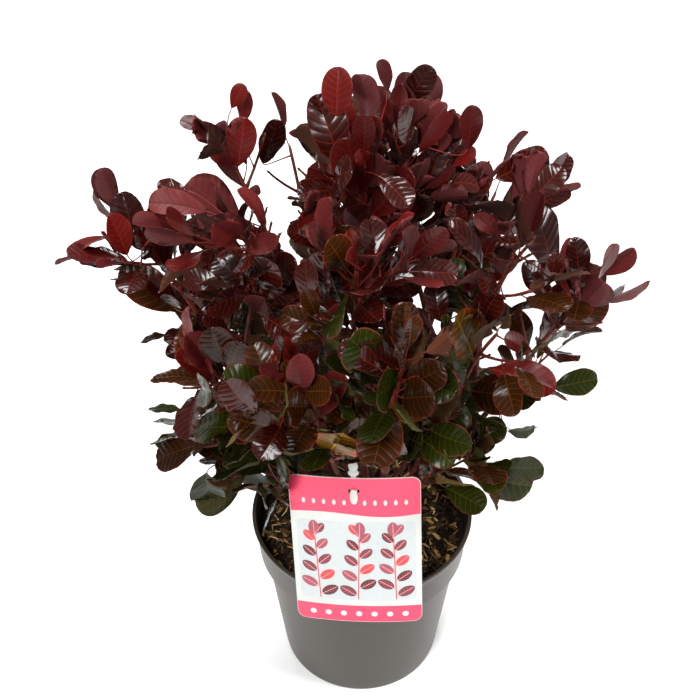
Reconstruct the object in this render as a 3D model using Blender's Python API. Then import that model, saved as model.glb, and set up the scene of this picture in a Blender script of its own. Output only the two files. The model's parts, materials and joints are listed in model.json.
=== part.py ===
"""A compact smoke bush in its nursery pot, 671 mm tall and a little under half a metre wide.

Metres, +Z up. The origin is the centre of the pot's flat underside, and -Y is the front.
A short trunk stands on the potting soil and forks low down. Each bough is one tapering limb
from a branch collar to the place where its leaves begin, and each foliage node carries that
shoot on to its tip, with side twigs and leaves, inside the space that lies nearer to its own
stem than to any other.
"""

import math
import random

import bmesh
import bpy
import numpy as np
from mathutils import Matrix, Vector
from mathutils.bvhtree import BVHTree

# Driving sizes of the pot and what fills it
RIM_RADIUS = 0.110
POT_HEIGHT = 0.1926
BASE_RADIUS = 0.0819
COLLAR_HEIGHT = 0.0448
COLLAR_RADIUS = 0.1043
COLLAR_STEP = 0.0058
WALL = 0.0018
LIP = 0.0022
POT_SIDES = 40
SOIL_DROP = 0.025
SOIL_RELIEF = 0.003
CLEAR = 0.0003

# Driving sizes of the label and the clip that holds it
CARD_WIDTH = 0.118
CARD_HEIGHT = 0.165
CARD_THICKNESS = 0.0009
CARD_CORNER = 0.008
CARD_BOW = 0.005
CARD_OFFSET = -0.006
CARD_RISE = 0.052
CARD_TURN = math.radians(-5.5)
CARD_LEAN = math.radians(10.7)
CARD_ROLL = math.radians(3.2)
SLOT_WIDTH = 0.010
SLOT_HEIGHT = 0.004
SLOT_DROP = 0.014
CLIP_WIDTH = 0.005
CLIP_THICKNESS = 0.0016
KNOB_RISE = 0.012

# Driving sizes of the trunk and the limbs
TRUNK_FOOT = Vector((0.002, 0.004, 0.0))
TRUNK_TOP = Vector((0.006, -0.002, 0.056))
TRUNK_RADIUS = 0.0105
TRUNK_TOP_RADIUS = 0.0085
FLARE_RADIUS = 0.019
FLARE_HEIGHT = 0.016
TRUNK_SIDES = 10
BOUGH_SIDES = 6
STEM_SIDES = 3
TWIG_SIDES = 3
STEM_TIP_RADIUS = 0.0013
TWIG_ROOT_RADIUS = 0.0009
TWIG_RADIUS = 0.0014
TWIG_TIP_RADIUS = 0.0012
PATH_STEPS = 12
FLAT_ANGLE = math.radians(1.0)

# Driving sizes of the leaves
PETIOLE = 0.019
PETIOLE_RADIUS = 0.0008
PETIOLE_ROOT_RADIUS = 0.0004
BLADE_LENGTH = 0.060
BLADE_WIDTH = 0.035
BLADE_THICKNESS = 0.0013
BLADE_WIDEST = 0.56
BLADE_END = 0.52
BLADE_CUP = 0.10
LEAF_GAP = 0.0125
GOLDEN_ANGLE = math.radians(137.5)
LEAF_TRIES = 22
TWIG_LENGTH = 0.050
SPACE_MARGIN = 0.0012
SPACE_REACH = 0.078
LOWEST_LEAF = 0.030
ABOVE_BOUGH = 0.06
SIGHT_SLOPE = 1.05
CARD_BACK = 0.080
CARD_GUARD = 0.003
SEED = 44

SOIL_TOP = POT_HEIGHT - SOIL_DROP
UP = Vector((0, 0, 1))

# Gaps where the sky shows between the sprays, seen from EYE in front and above: each is the place
# across and up where the line of sight meets the plane y = 0, and the gap's half width and height
EYE = Vector((-0.012, -0.818, 1.091))
SKY_GAPS = (
    (-0.065, 0.600, 0.011, 0.021),
    (-0.080, 0.635, 0.010, 0.018),
    (-0.053, 0.648, 0.008, 0.008),
    (-0.010, 0.667, 0.006, 0.011),
    (-0.025, 0.683, 0.018, 0.012),
    (-0.053, 0.608, 0.008, 0.022),
    (-0.119, 0.650, 0.010, 0.013),
    (0.101, 0.623, 0.006, 0.008),
    (-0.194, 0.565, 0.018, 0.007),
    (-0.146, 0.589, 0.006, 0.009),
    (-0.060, 0.512, 0.008, 0.010),
    (-0.074, 0.547, 0.010, 0.010),
    (-0.077, 0.584, 0.010, 0.011),
    (-0.106, 0.566, 0.008, 0.016),
    (-0.215, 0.459, 0.019, 0.012),
    (-0.191, 0.443, 0.012, 0.009),
    (-0.190, 0.429, 0.008, 0.017),
    (-0.180, 0.390, 0.008, 0.009),
    (-0.173, 0.346, 0.014, 0.015),
    (-0.162, 0.251, 0.011, 0.018),
    (-0.122, 0.204, 0.013, 0.013),
    (0.111, 0.566, 0.008, 0.015),
    (0.179, 0.537, 0.014, 0.015),
    (0.142, 0.514, 0.009, 0.012),
    (0.130, 0.480, 0.009, 0.011),
    (0.147, 0.433, 0.009, 0.016),
    (0.123, 0.401, 0.014, 0.017),
    (0.178, 0.388, 0.015, 0.016),
    (0.218, 0.480, 0.015, 0.010),
    (0.246, 0.436, 0.039, 0.014),
    (0.221, 0.398, 0.023, 0.024),
    (0.182, 0.339, 0.019, 0.007),
    (0.144, 0.281, 0.012, 0.015),
    (0.152, 0.316, 0.015, 0.009),
)

# Leaves that stand out from the crown on long stalks: where each blade begins, where it ends, and by
# how many degrees it is turned away from EYE
LONE_LEAVES = (
    ((0.165, -0.040, 0.391), (0.204, -0.040, 0.402), 0),
    ((-0.143, -0.080, 0.361), (-0.188, -0.080, 0.345), 20),
    ((-0.142, -0.060, 0.306), (-0.146, -0.060, 0.250), 10),
    ((-0.175, 0.030, 0.299), (-0.206, 0.030, 0.307), 50),
    ((0.094, -0.088, 0.331), (0.151, -0.088, 0.315), 10),
    ((0.132, -0.030, 0.328), (0.160, -0.030, 0.326), 60),
    ((0.186, -0.020, 0.501), (0.223, -0.020, 0.519), 55),
    ((0.190, -0.050, 0.495), (0.232, -0.050, 0.506), 60),
    ((-0.205, 0.030, 0.475), (-0.247, 0.030, 0.486), 40),
    ((-0.185, 0.050, 0.511), (-0.227, 0.050, 0.493), 0),
    ((0.126, -0.040, 0.585), (0.150, -0.040, 0.613), 10),
    ((0.133, -0.020, 0.581), (0.162, -0.020, 0.606), 40),
    ((-0.023, 0.010, 0.629), (-0.021, 0.010, 0.668), 0),
    ((0.032, 0.070, 0.605), (0.054, 0.070, 0.639), 10),
    ((0.086, 0.050, 0.575), (0.087, 0.050, 0.614), 0),
    ((-0.129, 0.070, 0.583), (-0.154, 0.070, 0.593), 10),
    ((-0.100, 0.080, 0.586), (-0.100, 0.080, 0.613), 10),
    ((-0.106, 0.050, 0.559), (-0.098, 0.050, 0.603), 0),
    ((0.179, -0.020, 0.494), (0.170, -0.020, 0.531), 0),
    ((0.147, -0.050, 0.524), (0.142, -0.050, 0.583), 50),
    ((0.115, 0.080, 0.529), (0.160, 0.080, 0.552), 20),
    ((-0.196, 0.030, 0.489), (-0.201, 0.030, 0.541), 0),
    ((0.146, 0.000, 0.403), (0.135, 0.000, 0.442), 30),
    ((0.134, -0.100, 0.478), (0.111, -0.100, 0.501), 60),
    ((0.137, -0.010, 0.382), (0.121, -0.010, 0.411), 55),
    ((0.160, 0.010, 0.449), (0.148, 0.010, 0.490), 50),
    ((0.173, -0.020, 0.439), (0.204, -0.020, 0.471), 10),
    ((0.160, -0.020, 0.436), (0.188, -0.020, 0.434), 60),
    ((0.191, -0.030, 0.482), (0.219, -0.030, 0.486), 55),
    ((-0.110, 0.070, 0.603), (-0.099, 0.070, 0.624), 10),
    ((-0.177, 0.010, 0.409), (-0.202, 0.010, 0.406), 50),
    ((-0.093, 0.140, 0.507), (-0.075, 0.140, 0.549), 30),
    ((0.017, 0.020, 0.645), (0.015, 0.020, 0.671), 40),
    ((-0.134, -0.060, 0.607), (-0.155, -0.060, 0.613), 20),
    ((0.131, -0.040, 0.340), (0.157, -0.040, 0.332), 50),
    ((0.156, -0.040, 0.376), (0.142, -0.040, 0.398), 40),
)

# Each shoot: name, azimuth in degrees from +X, reach from the axis and height over the rim in
# metres, the limb that it leaves, how far along that limb, and its radius where it starts
MAIN_SHOOTS = (
    ("right", -10, 0.190, 0.296, "trunk", 0.72, 0.0040),
    ("back_right", 44, 0.168, 0.296, "trunk", 0.86, 0.0040),
    ("back", 96, 0.178, 0.288, "trunk", 0.70, 0.0040),
    ("back_left", 114, 0.166, 0.324, "trunk", 0.88, 0.0040),
    ("left", 168, 0.208, 0.312, "trunk", 0.74, 0.0040),
    ("front_left", -109, 0.150, 0.288, "trunk", 0.66, 0.0036),
    ("front_right", -80, 0.160, 0.330, "trunk", 0.84, 0.0042),
    ("top_centre", -75, 0.002, 0.408, "trunk", 1.0, 0.0040),
)
SIDE_SHOOTS = (
    ("right_front", -38, 0.132, 0.292, "right", 0.22, 0.0031),
    ("top_right_front", -22, 0.140, 0.364, "right", 0.40, 0.0028),
    ("right_back", 38, 0.128, 0.316, "back_right", 0.20, 0.0031),
    ("top_right", 56, 0.062, 0.396, "back_right", 0.40, 0.0028),
    ("top_back", 72, 0.096, 0.368, "back", 0.32, 0.0029),
    ("left_back", 150, 0.136, 0.376, "back_left", 0.22, 0.0031),
    ("top_left", 120, 0.056, 0.372, "back_left", 0.42, 0.0028),
    ("left_front", -146, 0.152, 0.260, "left", 0.24, 0.0031),
    ("top_left_front", -146, 0.120, 0.390, "left", 0.40, 0.0028),
    ("top_front", -94, 0.104, 0.372, "front_right", 0.36, 0.0029),
)
LOW_SHOOTS = (
    ("middle_right", -22, 0.090, 0.172, "trunk", 0.50, 0.0022),
    ("middle_front", -90, 0.092, 0.190, "trunk", 0.56, 0.0022),
    ("middle_left_front", -150, 0.134, 0.166, "trunk", 0.46, 0.0022),
    ("middle_left", 150, 0.132, 0.176, "trunk", 0.54, 0.0022),
    ("middle_back", 124, 0.148, 0.166, "trunk", 0.48, 0.0022),
    ("middle_back_right", 30, 0.130, 0.166, "trunk", 0.58, 0.0022),
    ("low_right_front", -30, 0.112, 0.149, "trunk", 0.36, 0.0020),
    ("low_left_front", -166, 0.124, 0.100, "trunk", 0.32, 0.0020),
    ("low_left", 166, 0.162, 0.138, "trunk", 0.36, 0.0020),
    ("low_back", 66, 0.106, 0.080, "trunk", 0.30, 0.0020),
)


def clear_scene():
    for item in list(bpy.data.objects):
        bpy.data.objects.remove(item, do_unlink=True)


def material(name, colour, roughness, metallic=0.0):
    result = bpy.data.materials.new(name)
    result.use_nodes = True
    shader = result.node_tree.nodes["Principled BSDF"]
    shader.inputs["Base Color"].default_value = (*colour, 1.0)
    shader.inputs["Roughness"].default_value = roughness
    shader.inputs["Metallic"].default_value = metallic
    return result


def mesh_object(name, points, faces, finish=None):
    """One object from points and faces, with the faces turned out."""
    mesh = bpy.data.meshes.new(name)
    mesh.from_pydata([tuple(point) for point in points], [], faces)
    shape = bmesh.new()
    shape.from_mesh(mesh)
    bmesh.ops.recalc_face_normals(shape, faces=shape.faces)
    shape.to_mesh(mesh)
    shape.free()
    result = bpy.data.objects.new(name, mesh)
    if finish:
        mesh.materials.append(finish)
    bpy.context.scene.collection.objects.link(result)
    return result


def shade_round(thing, angle=35):
    thing.data.shade_smooth()
    thing.data.set_sharp_from_angle(angle=math.radians(angle))


def turned(profile, sides, lift=None):
    """Points and faces of a profile of (radius, height) turned round Z, closed on the axis."""
    points = []
    rings = []
    for radius, height in profile:
        if radius == 0:
            points.append(Vector((0, 0, height)))
            rings.append([len(points) - 1])
            continue
        ring = []
        for k in range(sides):
            turn = 2 * math.pi * k / sides
            raise_by = lift(radius, turn, height) if lift else 0
            points.append(Vector((radius * math.cos(turn), radius * math.sin(turn), height + raise_by)))
            ring.append(len(points) - 1)
        rings.append(ring)
    faces = []
    for lower, upper in zip(rings, rings[1:]):
        for k in range(sides):
            corner = [lower[k % len(lower)], lower[(k + 1) % sides % len(lower)],
                      upper[(k + 1) % sides % len(upper)], upper[k % len(upper)]]
            faces.append(list(dict.fromkeys(corner)))
    return points, faces


def tube(points, radii, sides):
    """Points and faces of a tapering limb along a line of points, flat at both ends."""
    corners = []
    side = None
    for k, point in enumerate(points):
        ahead = points[min(k + 1, len(points) - 1)] - points[max(k - 1, 0)]
        ahead.normalize()
        side = square_to(side if side else ahead.orthogonal(), ahead)
        other = ahead.cross(side)
        for turn in (2 * math.pi * n / sides for n in range(sides)):
            corners.append(point + radii[k] * (side * math.cos(turn) + other * math.sin(turn)))
    faces = [list(range(sides))[::-1], [len(corners) - sides + n for n in range(sides)]]
    for k in range(len(points) - 1):
        low = k * sides
        for n in range(sides):
            m = (n + 1) % sides
            faces.append([low + n, low + m, low + sides + m, low + sides + n])
    return corners, faces


def square_to(direction, axis):
    """The part of a direction that is square to an axis, as a unit vector."""
    return (direction - axis * direction.dot(axis)).normalized()


def union(name, parts, finish):
    """Join overlapping closed parts into one body, and keep its one outer surface."""
    base, *rest = [mesh_object(name if k == 0 else name + "_part", *part) for k, part in enumerate(parts)]
    if rest:
        joined = bpy.data.collections.new(name + "_parts")
        bpy.context.scene.collection.children.link(joined)
        for thing in rest:
            joined.objects.link(thing)
        step = base.modifiers.new("join", "BOOLEAN")
        step.operation = "UNION"
        step.operand_type = "COLLECTION"
        step.collection = joined
        step.solver = "MANIFOLD"
        bpy.context.view_layer.update()
        whole = bpy.data.meshes.new_from_object(base.evaluated_get(bpy.context.evaluated_depsgraph_get()))
        base.modifiers.remove(step)
        base.data = whole
        for thing in rest:
            bpy.data.objects.remove(thing, do_unlink=True)
        bpy.data.collections.remove(joined)
    base.data.name = name
    keep_outer_body(base.data)
    base.data.materials.clear()
    base.data.materials.append(finish)
    return base


def keep_outer_body(mesh):
    """Delete loose scraps and sealed hollows: every group of faces but the one with most faces."""
    shape = bmesh.new()
    shape.from_mesh(mesh)
    bmesh.ops.remove_doubles(shape, verts=shape.verts, dist=1e-6)
    bmesh.ops.dissolve_limit(shape, angle_limit=FLAT_ANGLE, verts=shape.verts, edges=shape.edges)
    bmesh.ops.triangulate(shape, faces=shape.faces)
    shape.faces.ensure_lookup_table()
    group = {}
    sizes = []
    for start in shape.faces:
        if start in group:
            continue
        group[start] = len(sizes)
        found = [start]
        for face in found:
            for edge in face.edges:
                for near in edge.link_faces:
                    if near not in group:
                        group[near] = len(sizes)
                        found.append(near)
        sizes.append(len(found))
    main = sizes.index(max(sizes))
    loose = [face for face in shape.faces if group[face] != main]
    bmesh.ops.delete(shape, geom=loose, context="FACES")
    shape.to_mesh(mesh)
    shape.free()


def inner_radius(height):
    """Radius of the pot's inner wall at a height."""
    step_height = POT_HEIGHT - COLLAR_HEIGHT
    if height < step_height:
        share = height / step_height
        return BASE_RADIUS + (COLLAR_RADIUS - COLLAR_STEP - BASE_RADIUS) * share - WALL
    share = (height - step_height) / COLLAR_HEIGHT
    return COLLAR_RADIUS + (RIM_RADIUS - LIP - COLLAR_RADIUS) * share - WALL


def make_pot(finish):
    """A turned shell: body, stepped-out collar, rolled lip, and a closed flat floor."""
    step = POT_HEIGHT - COLLAR_HEIGHT
    body_top = COLLAR_RADIUS - COLLAR_STEP
    collar_top = RIM_RADIUS - LIP
    profile = [
        (0, 0), (BASE_RADIUS - 0.0015, 0), (BASE_RADIUS, 0.0015), (body_top, step - 0.0010),
        (COLLAR_RADIUS, step), (collar_top, POT_HEIGHT - LIP - 0.0008), (RIM_RADIUS, POT_HEIGHT - LIP),
        (RIM_RADIUS, POT_HEIGHT - 0.0006), (RIM_RADIUS - 0.0008, POT_HEIGHT),
        (collar_top - WALL + 0.0006, POT_HEIGHT), (collar_top - WALL, POT_HEIGHT - 0.0010),
        (COLLAR_RADIUS - WALL, step + WALL), (body_top - WALL, step - 0.0010),
        (BASE_RADIUS - WALL, WALL + 0.0008), (0, WALL + 0.0008),
    ]
    thing = mesh_object("pot", *turned(profile, POT_SIDES), finish)
    shade_round(thing)
    return thing


def soil_lift(radius, turn, height):
    """Gentle unevenness of the soil, level round the trunk and along the wall."""
    if height < SOIL_TOP:
        return 0
    span = (radius - 0.030) / (0.088 - 0.030)
    if not 0 < span < 1:
        return 0
    wave = math.sin(3 * turn + 0.7) + 0.7 * math.sin(5 * turn + 40 * radius) + 0.5 * math.cos(8 * turn)
    return SOIL_RELIEF * math.sin(math.pi * span) * wave / 2


def make_soil(finish):
    """The soil plug: it fills the pot up to a finger below the rim, clear of the wall."""
    step = POT_HEIGHT - COLLAR_HEIGHT
    gap = CLEAR + 0.0002
    profile = [
        (0, WALL + 0.0008 + CLEAR), (BASE_RADIUS - WALL - gap, WALL + 0.0008 + CLEAR),
        (COLLAR_RADIUS - COLLAR_STEP - WALL - gap, step - 0.0010),
        (COLLAR_RADIUS - WALL - gap, step + WALL + gap),
        (inner_radius(SOIL_TOP) - gap, SOIL_TOP), (0.088, SOIL_TOP), (0.069, SOIL_TOP), (0.050, SOIL_TOP),
        (0.030, SOIL_TOP), (0, SOIL_TOP),
    ]
    thing = mesh_object("potting_soil", *turned(profile, POT_SIDES, soil_lift), finish)
    shade_round(thing)
    return thing


def card_matrix():
    """Place of the card: its middle, turned, leaning back, and its back just off the rim."""
    turn = Matrix.Rotation(CARD_TURN, 4, "Z") @ Matrix.Rotation(-CARD_LEAN, 4, "X") @ Matrix.Rotation(
        -CARD_ROLL, 4, "Y")
    back = turn @ Vector((0, 1, 0))
    touch = -RIM_RADIUS * Vector((back.x, back.y, 0)).normalized() + Vector((0, 0, POT_HEIGHT))
    middle = Vector((CARD_OFFSET, 0, POT_HEIGHT + CARD_RISE))
    reach = (touch - back * (CARD_THICKNESS / 2 + CARD_BOW * 0.1 + CLEAR) - middle).dot(back) / back.y
    return Matrix.Translation(middle + Vector((0, reach, 0))) @ turn


def card_outline(half_width, half_height, corner, steps):
    """Outline of a card with round corners, as (across, up)."""
    points = []
    for quarter, (side, top) in enumerate(((1, 1), (-1, 1), (-1, -1), (1, -1))):
        for k in range(steps + 1):
            turn = math.pi / 2 * (quarter + k / steps)
            points.append((side * (half_width - corner) + corner * math.cos(turn),
                           top * (half_height - corner) + corner * math.sin(turn)))
    return points


def make_card(finish):
    """A thin card, bowed back at its sides, with a slot near its top edge."""
    columns = 9
    shape = bmesh.new()
    outline = card_outline(CARD_WIDTH / 2, CARD_HEIGHT / 2, CARD_CORNER, 3)
    corners = [shape.verts.new((across, -CARD_THICKNESS / 2, up)) for across, up in outline]
    shape.faces.new(corners)
    for k in range(1, columns):
        across = CARD_WIDTH * (k / columns - 0.5)
        everything = shape.verts[:] + shape.edges[:] + shape.faces[:]
        bmesh.ops.bisect_plane(shape, geom=everything, plane_co=(across, 0, 0), plane_no=(1, 0, 0))
    front = shape.faces[:]
    grown = bmesh.ops.extrude_face_region(shape, geom=front)
    moved = [item for item in grown["geom"] if isinstance(item, bmesh.types.BMVert)]
    bmesh.ops.translate(shape, verts=moved, vec=(0, CARD_THICKNESS, 0))
    bmesh.ops.recalc_face_normals(shape, faces=shape.faces)
    mesh = bpy.data.meshes.new("label_card")
    shape.to_mesh(mesh)
    shape.free()
    card = bpy.data.objects.new("label_card", mesh)
    bpy.context.scene.collection.objects.link(card)
    cut_slot(card)
    for vertex in card.data.vertices:
        vertex.co.y += CARD_BOW * (2 * vertex.co.x / CARD_WIDTH) ** 2
    card.data.materials.clear()
    card.data.materials.append(finish)
    card.matrix_world = card_matrix()
    return card


def cut_slot(card):
    """Cut the clip's slot through the flat card."""
    middle = CARD_HEIGHT / 2 - SLOT_DROP
    corners = [(x * SLOT_WIDTH / 2, y * 0.01, middle + z * SLOT_HEIGHT / 2)
               for x in (-1, 1) for y in (-1, 1) for z in (-1, 1)]
    faces = [(0, 1, 3, 2), (4, 6, 7, 5), (0, 4, 5, 1), (2, 3, 7, 6), (0, 2, 6, 4), (1, 5, 7, 3)]
    cutter = mesh_object("slot_cutter", corners, faces)
    step = card.modifiers.new("slot", "BOOLEAN")
    step.operation = "DIFFERENCE"
    step.object = cutter
    step.solver = "EXACT"
    bpy.context.view_layer.update()
    card.data = bpy.data.meshes.new_from_object(card.evaluated_get(bpy.context.evaluated_depsgraph_get()))
    card.modifiers.remove(step)
    bpy.data.objects.remove(cutter, do_unlink=True)


def bar(start, end, width, thickness, across):
    """Points and faces of a flat bar between two points."""
    ahead = (end - start).normalized()
    wide = square_to(across, ahead) * (width / 2)
    thick = ahead.cross(wide).normalized() * (thickness / 2)
    section = [wide * x + thick * y for x, y in ((-1, -1), (1, -1), (1, 1), (-1, 1))]
    corners = [at + corner for at in (start, end) for corner in section]
    faces = [(0, 1, 2, 3), (4, 5, 6, 7), (0, 1, 5, 4), (1, 2, 6, 5), (2, 3, 7, 6), (3, 0, 4, 7)]
    return corners, faces


def card_guard():
    """Points and faces of a slab a little larger than the card, which leaves keep out of."""
    place = card_matrix()
    half_width = CARD_WIDTH / 2 + CARD_GUARD
    half_height = CARD_HEIGHT / 2 + CARD_GUARD
    low = place @ Vector((0, CARD_BOW / 2, -half_height))
    high = place @ Vector((0, CARD_BOW / 2, half_height))
    across = place.to_3x3() @ Vector((1, 0, 0))
    return bar(low, high, 2 * half_width, CARD_BOW + 2 * CARD_GUARD, across)


def make_clip(finish):
    """A white stake from the soil up behind the card, its tongue through the slot, a knob on top."""
    place = card_matrix()
    across = place.to_3x3() @ Vector((1, 0, 0))
    behind = CARD_THICKNESS / 2 + CLIP_THICKNESS / 2 + 0.0006
    slot_up = CARD_HEIGHT / 2 - SLOT_DROP
    shoulder = place @ Vector((0, behind, slot_up - 0.020))
    top = place @ Vector((0, behind, CARD_HEIGHT / 2 + KNOB_RISE))
    foot_radius = inner_radius(SOIL_TOP) - 0.006
    foot = Vector((shoulder.x, -foot_radius, SOIL_TOP + CLEAR))
    tongue_back = place @ Vector((0, behind, slot_up))
    tongue_front = place @ Vector((0, -CARD_THICKNESS / 2 - 0.0026, slot_up))
    hook = place @ Vector((0, -CARD_THICKNESS / 2 - 0.0016, slot_up + 0.0055))
    knob_middle = place @ Vector((0, behind, CARD_HEIGHT / 2 + KNOB_RISE))
    out = place.to_3x3() @ Vector((0, 1, 0))
    tongue_width = CLIP_WIDTH * 1.3
    parts = [
        bar(foot, shoulder, CLIP_WIDTH, CLIP_THICKNESS, across),
        bar(shoulder - (top - shoulder).normalized() * 0.002, top, CLIP_WIDTH, CLIP_THICKNESS, across),
        bar(tongue_back, tongue_front, tongue_width, 0.0020, across),
        bar(tongue_front - (hook - tongue_front).normalized() * 0.001, hook, tongue_width, 0.0014, across),
        tube([knob_middle - out * 0.0013, knob_middle + out * 0.0013], [0.0050, 0.0050], 12),
    ]
    return union("label_clip", parts, finish)


def trunk_point(share):
    """Point on the trunk's axis, from its foot at 0 to its top at 1, over the soil."""
    lean = TRUNK_FOOT.lerp(TRUNK_TOP, share)
    return lean + Vector((0.0018 * math.sin(math.pi * share), 0, SOIL_TOP + CLEAR))


def trunk_radius(share):
    """Radius of the trunk, with its root flare at the foot."""
    height = share * (TRUNK_TOP.z - TRUNK_FOOT.z)
    flare = (FLARE_RADIUS - TRUNK_RADIUS) * max(0, 1 - height / FLARE_HEIGHT) ** 2
    return TRUNK_RADIUS + (TRUNK_TOP_RADIUS - TRUNK_RADIUS) * share + flare


def trunk_tube():
    shares = (0, 0.08, 0.17, 0.32, 0.55, 0.80, 1.0)
    points = [trunk_point(share) for share in shares]
    corners, faces = tube(points, [trunk_radius(share) for share in shares], TRUNK_SIDES)
    for corner in corners[:TRUNK_SIDES]:
        corner.z = SOIL_TOP + CLEAR
    return corners, faces


def curve_points(start, heading, tip, arrival):
    """Points along one smooth curve that starts along a heading and arrives along another."""
    length = (tip - start).length
    pull = start + heading * (0.42 * length)
    push = tip - arrival * (0.34 * length)
    points = []
    for k in range(PATH_STEPS + 1):
        t = k / PATH_STEPS
        s = 1 - t
        points.append(start * s ** 3 + pull * (3 * s * s * t) + push * (3 * s * t * t) + tip * t ** 3)
    return points


def point_at(points, share):
    """Point and direction at a share of a line of points."""
    place = min(max(share, 0), 1) * (len(points) - 1)
    k = min(int(place), len(points) - 2)
    ahead = points[k + 1] - points[k]
    return points[k] + ahead * (place - k), ahead.normalized()


def line_between(points, start, end, steps):
    """Points of the stretch between two shares, evenly stepped."""
    return [point_at(points, start + (end - start) * k / steps)[0] for k in range(steps + 1)]


def plan_shoots():
    """Work out every shoot: where it leaves its parent, its collar, and its curve to the tip."""
    shoots = {}
    order = [(row, 0.50) for row in MAIN_SHOOTS] + [(row, 0.42) for row in SIDE_SHOOTS]
    order += [(row, 0.40) for row in LOW_SHOOTS]
    for row, leafy in order:
        name, azimuth, reach, height, parent, fork, radius = row
        turn = math.radians(azimuth)
        outward = Vector((math.cos(turn), math.sin(turn), 0))
        tip = outward * reach + UP * (POT_HEIGHT + height)
        spread = min(1, reach / 0.19)
        low = row in LOW_SHOOTS
        if parent == "trunk":
            start = trunk_point(fork)
            parent_heading = UP
            parent_radius = trunk_radius(fork)
            rise = math.radians(78 - 40 * spread - (18 if low else 0))
            heading = (outward * math.cos(rise) + UP * math.sin(rise)).normalized()
            collar = 0.004
            if fork < 1:
                collar = (parent_radius + radius * math.sin(rise) + 0.0012) / max(0.3, math.cos(rise))
        else:
            source = shoots[parent]
            start, parent_heading = point_at(source["path"], fork)
            parent_radius = bough_radius(source, fork)
            heading = (parent_heading * 0.75 + (tip - start).normalized()).normalized()
            side = square_to(tip - start, parent_heading)
            least = math.radians(34)
            if heading.angle(parent_heading) < least:
                heading = parent_heading * math.cos(least) + side * math.sin(least)
            angle = heading.angle(parent_heading)
            collar = (parent_radius + radius * math.cos(angle) + 0.0012) / math.sin(angle)
        lean = math.radians(8 + 30 * spread + (26 if low else 0))
        arrival = (outward * math.sin(lean) + UP * math.cos(lean)).normalized()
        foot = start + heading * collar
        shoots[name] = {
            "name": name, "parent": parent, "fork": fork, "root": start, "foot": foot, "heading": heading,
            "radius": radius, "leafy": leafy, "low": low, "outward": outward,
            "path": curve_points(foot, heading, tip, arrival),
        }
    return shoots


def bough_radius(shoot, share):
    """Radius of a shoot's limb, tapering evenly to the radius of its tip."""
    return shoot["radius"] + (STEM_TIP_RADIUS - shoot["radius"]) * share ** 0.9


def collar_tube(shoot):
    """The short cone that a parent limb puts out to meet this shoot, flat at its end."""
    root_radius = shoot["radius"] * 1.25
    sides = STEM_SIDES if shoot["low"] else BOUGH_SIDES
    return tube([shoot["root"], shoot["foot"]], [root_radius, shoot["radius"]], sides)


def collars_on(name, shoots):
    return [collar_tube(shoot) for shoot in shoots.values() if shoot["parent"] == name]


def bough_tube(shoot):
    """The bare limb from the collar to where the leaves begin."""
    path = shoot["path"]
    steps = 4
    points = line_between(path, 0, shoot["leafy"], steps)
    points[0] = path[0] + shoot["heading"] * CLEAR
    radii = [bough_radius(shoot, shoot["leafy"] * k / steps) for k in range(steps + 1)]
    return tube(points, radii, BOUGH_SIDES)


def leaf_solid(root, ahead, blade_ahead, upper, size, petiole_length):
    """A leaf as points and faces: its petiole, and a blade with a ridge under its midrib."""
    across = blade_ahead.cross(upper).normalized()
    length = BLADE_LENGTH * size
    width = BLADE_WIDTH * size
    neck = root + ahead * petiole_length
    middle = neck + blade_ahead * (length * BLADE_WIDEST)
    end = neck + blade_ahead * length - upper * (0.06 * length)
    lift = upper * (BLADE_CUP * width)
    ridge = upper * BLADE_THICKNESS
    side = square_to(across, ahead)
    below = -square_to(upper, ahead)
    below = square_to(below, side)
    ring = []
    for centre, radius in ((root, PETIOLE_ROOT_RADIUS), (neck, PETIOLE_RADIUS)):
        ring.append([centre + (side * 0.87 - below * 0.5) * radius,
                     centre - (side * 0.87 + below * 0.5) * radius, centre + below * radius])
    ring.append([middle + across * (width / 2) + lift, middle - across * (width / 2) + lift, middle - ridge])
    half = width / 2 * BLADE_END
    ring.append([end + across * half + lift * 0.5, end - across * half + lift * 0.5, end - ridge * 0.8])
    points = [corner for section in ring for corner in section]
    faces = [(0, 1, 2), (9, 10, 11)]
    for k in range(3):
        low = 3 * k
        for n in range(3):
            m = (n + 1) % 3
            faces.append((low + n, low + m, low + 3 + m))
            faces.append((low + n, low + 3 + m, low + 3 + n))
    return points, faces


def tree_of(parts):
    """Search tree over the faces of several parts."""
    points = []
    faces = []
    for corners, polygons in parts:
        base = len(points)
        points.extend(corners)
        faces.extend([base + n for n in polygon] for polygon in polygons)
    return BVHTree.FromPolygons(points, faces)


class Spaces:
    """The space of every shoot: all that lies nearer to its leafy stem than to another one."""

    def __init__(self, shoots):
        starts = []
        ends = []
        owners = []
        for number, shoot in enumerate(shoots.values()):
            stretch = line_between(shoot["path"], shoot["leafy"], 1, 4)
            for a, b in zip(stretch, stretch[1:]):
                starts.append(a)
                ends.append(b)
                owners.append(number)
        self.starts = np.array(starts)
        self.steps = np.array(ends) - self.starts
        self.owners = np.array(owners)
        self.squares = (self.steps ** 2).sum(axis=1)

    def holds(self, number, points):
        """True if every point is within reach of this stem and clearly nearer to it."""
        offset = np.array(points)[:, None, :] - self.starts
        share = np.clip((offset * self.steps).sum(axis=2) / self.squares, 0, 1)
        gap = np.linalg.norm(offset - share[:, :, None] * self.steps, axis=2)
        mine = gap[:, self.owners == number].min(axis=1)
        others = gap[:, self.owners != number].min(axis=1)
        return bool((mine < SPACE_REACH).all() and (mine + SPACE_MARGIN < others).all())


def covers_sky(point):
    """True for a point that lies in front of one of the crown's gaps, or behind it."""
    share = EYE.y / (EYE.y - point.y)
    across = EYE.x + (point.x - EYE.x) * share
    height = EYE.z + (point.z - EYE.z) * share
    return any(((across - x) / wide) ** 2 + ((height - z) / high) ** 2 < 1 for x, z, wide, high in SKY_GAPS)


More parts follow.
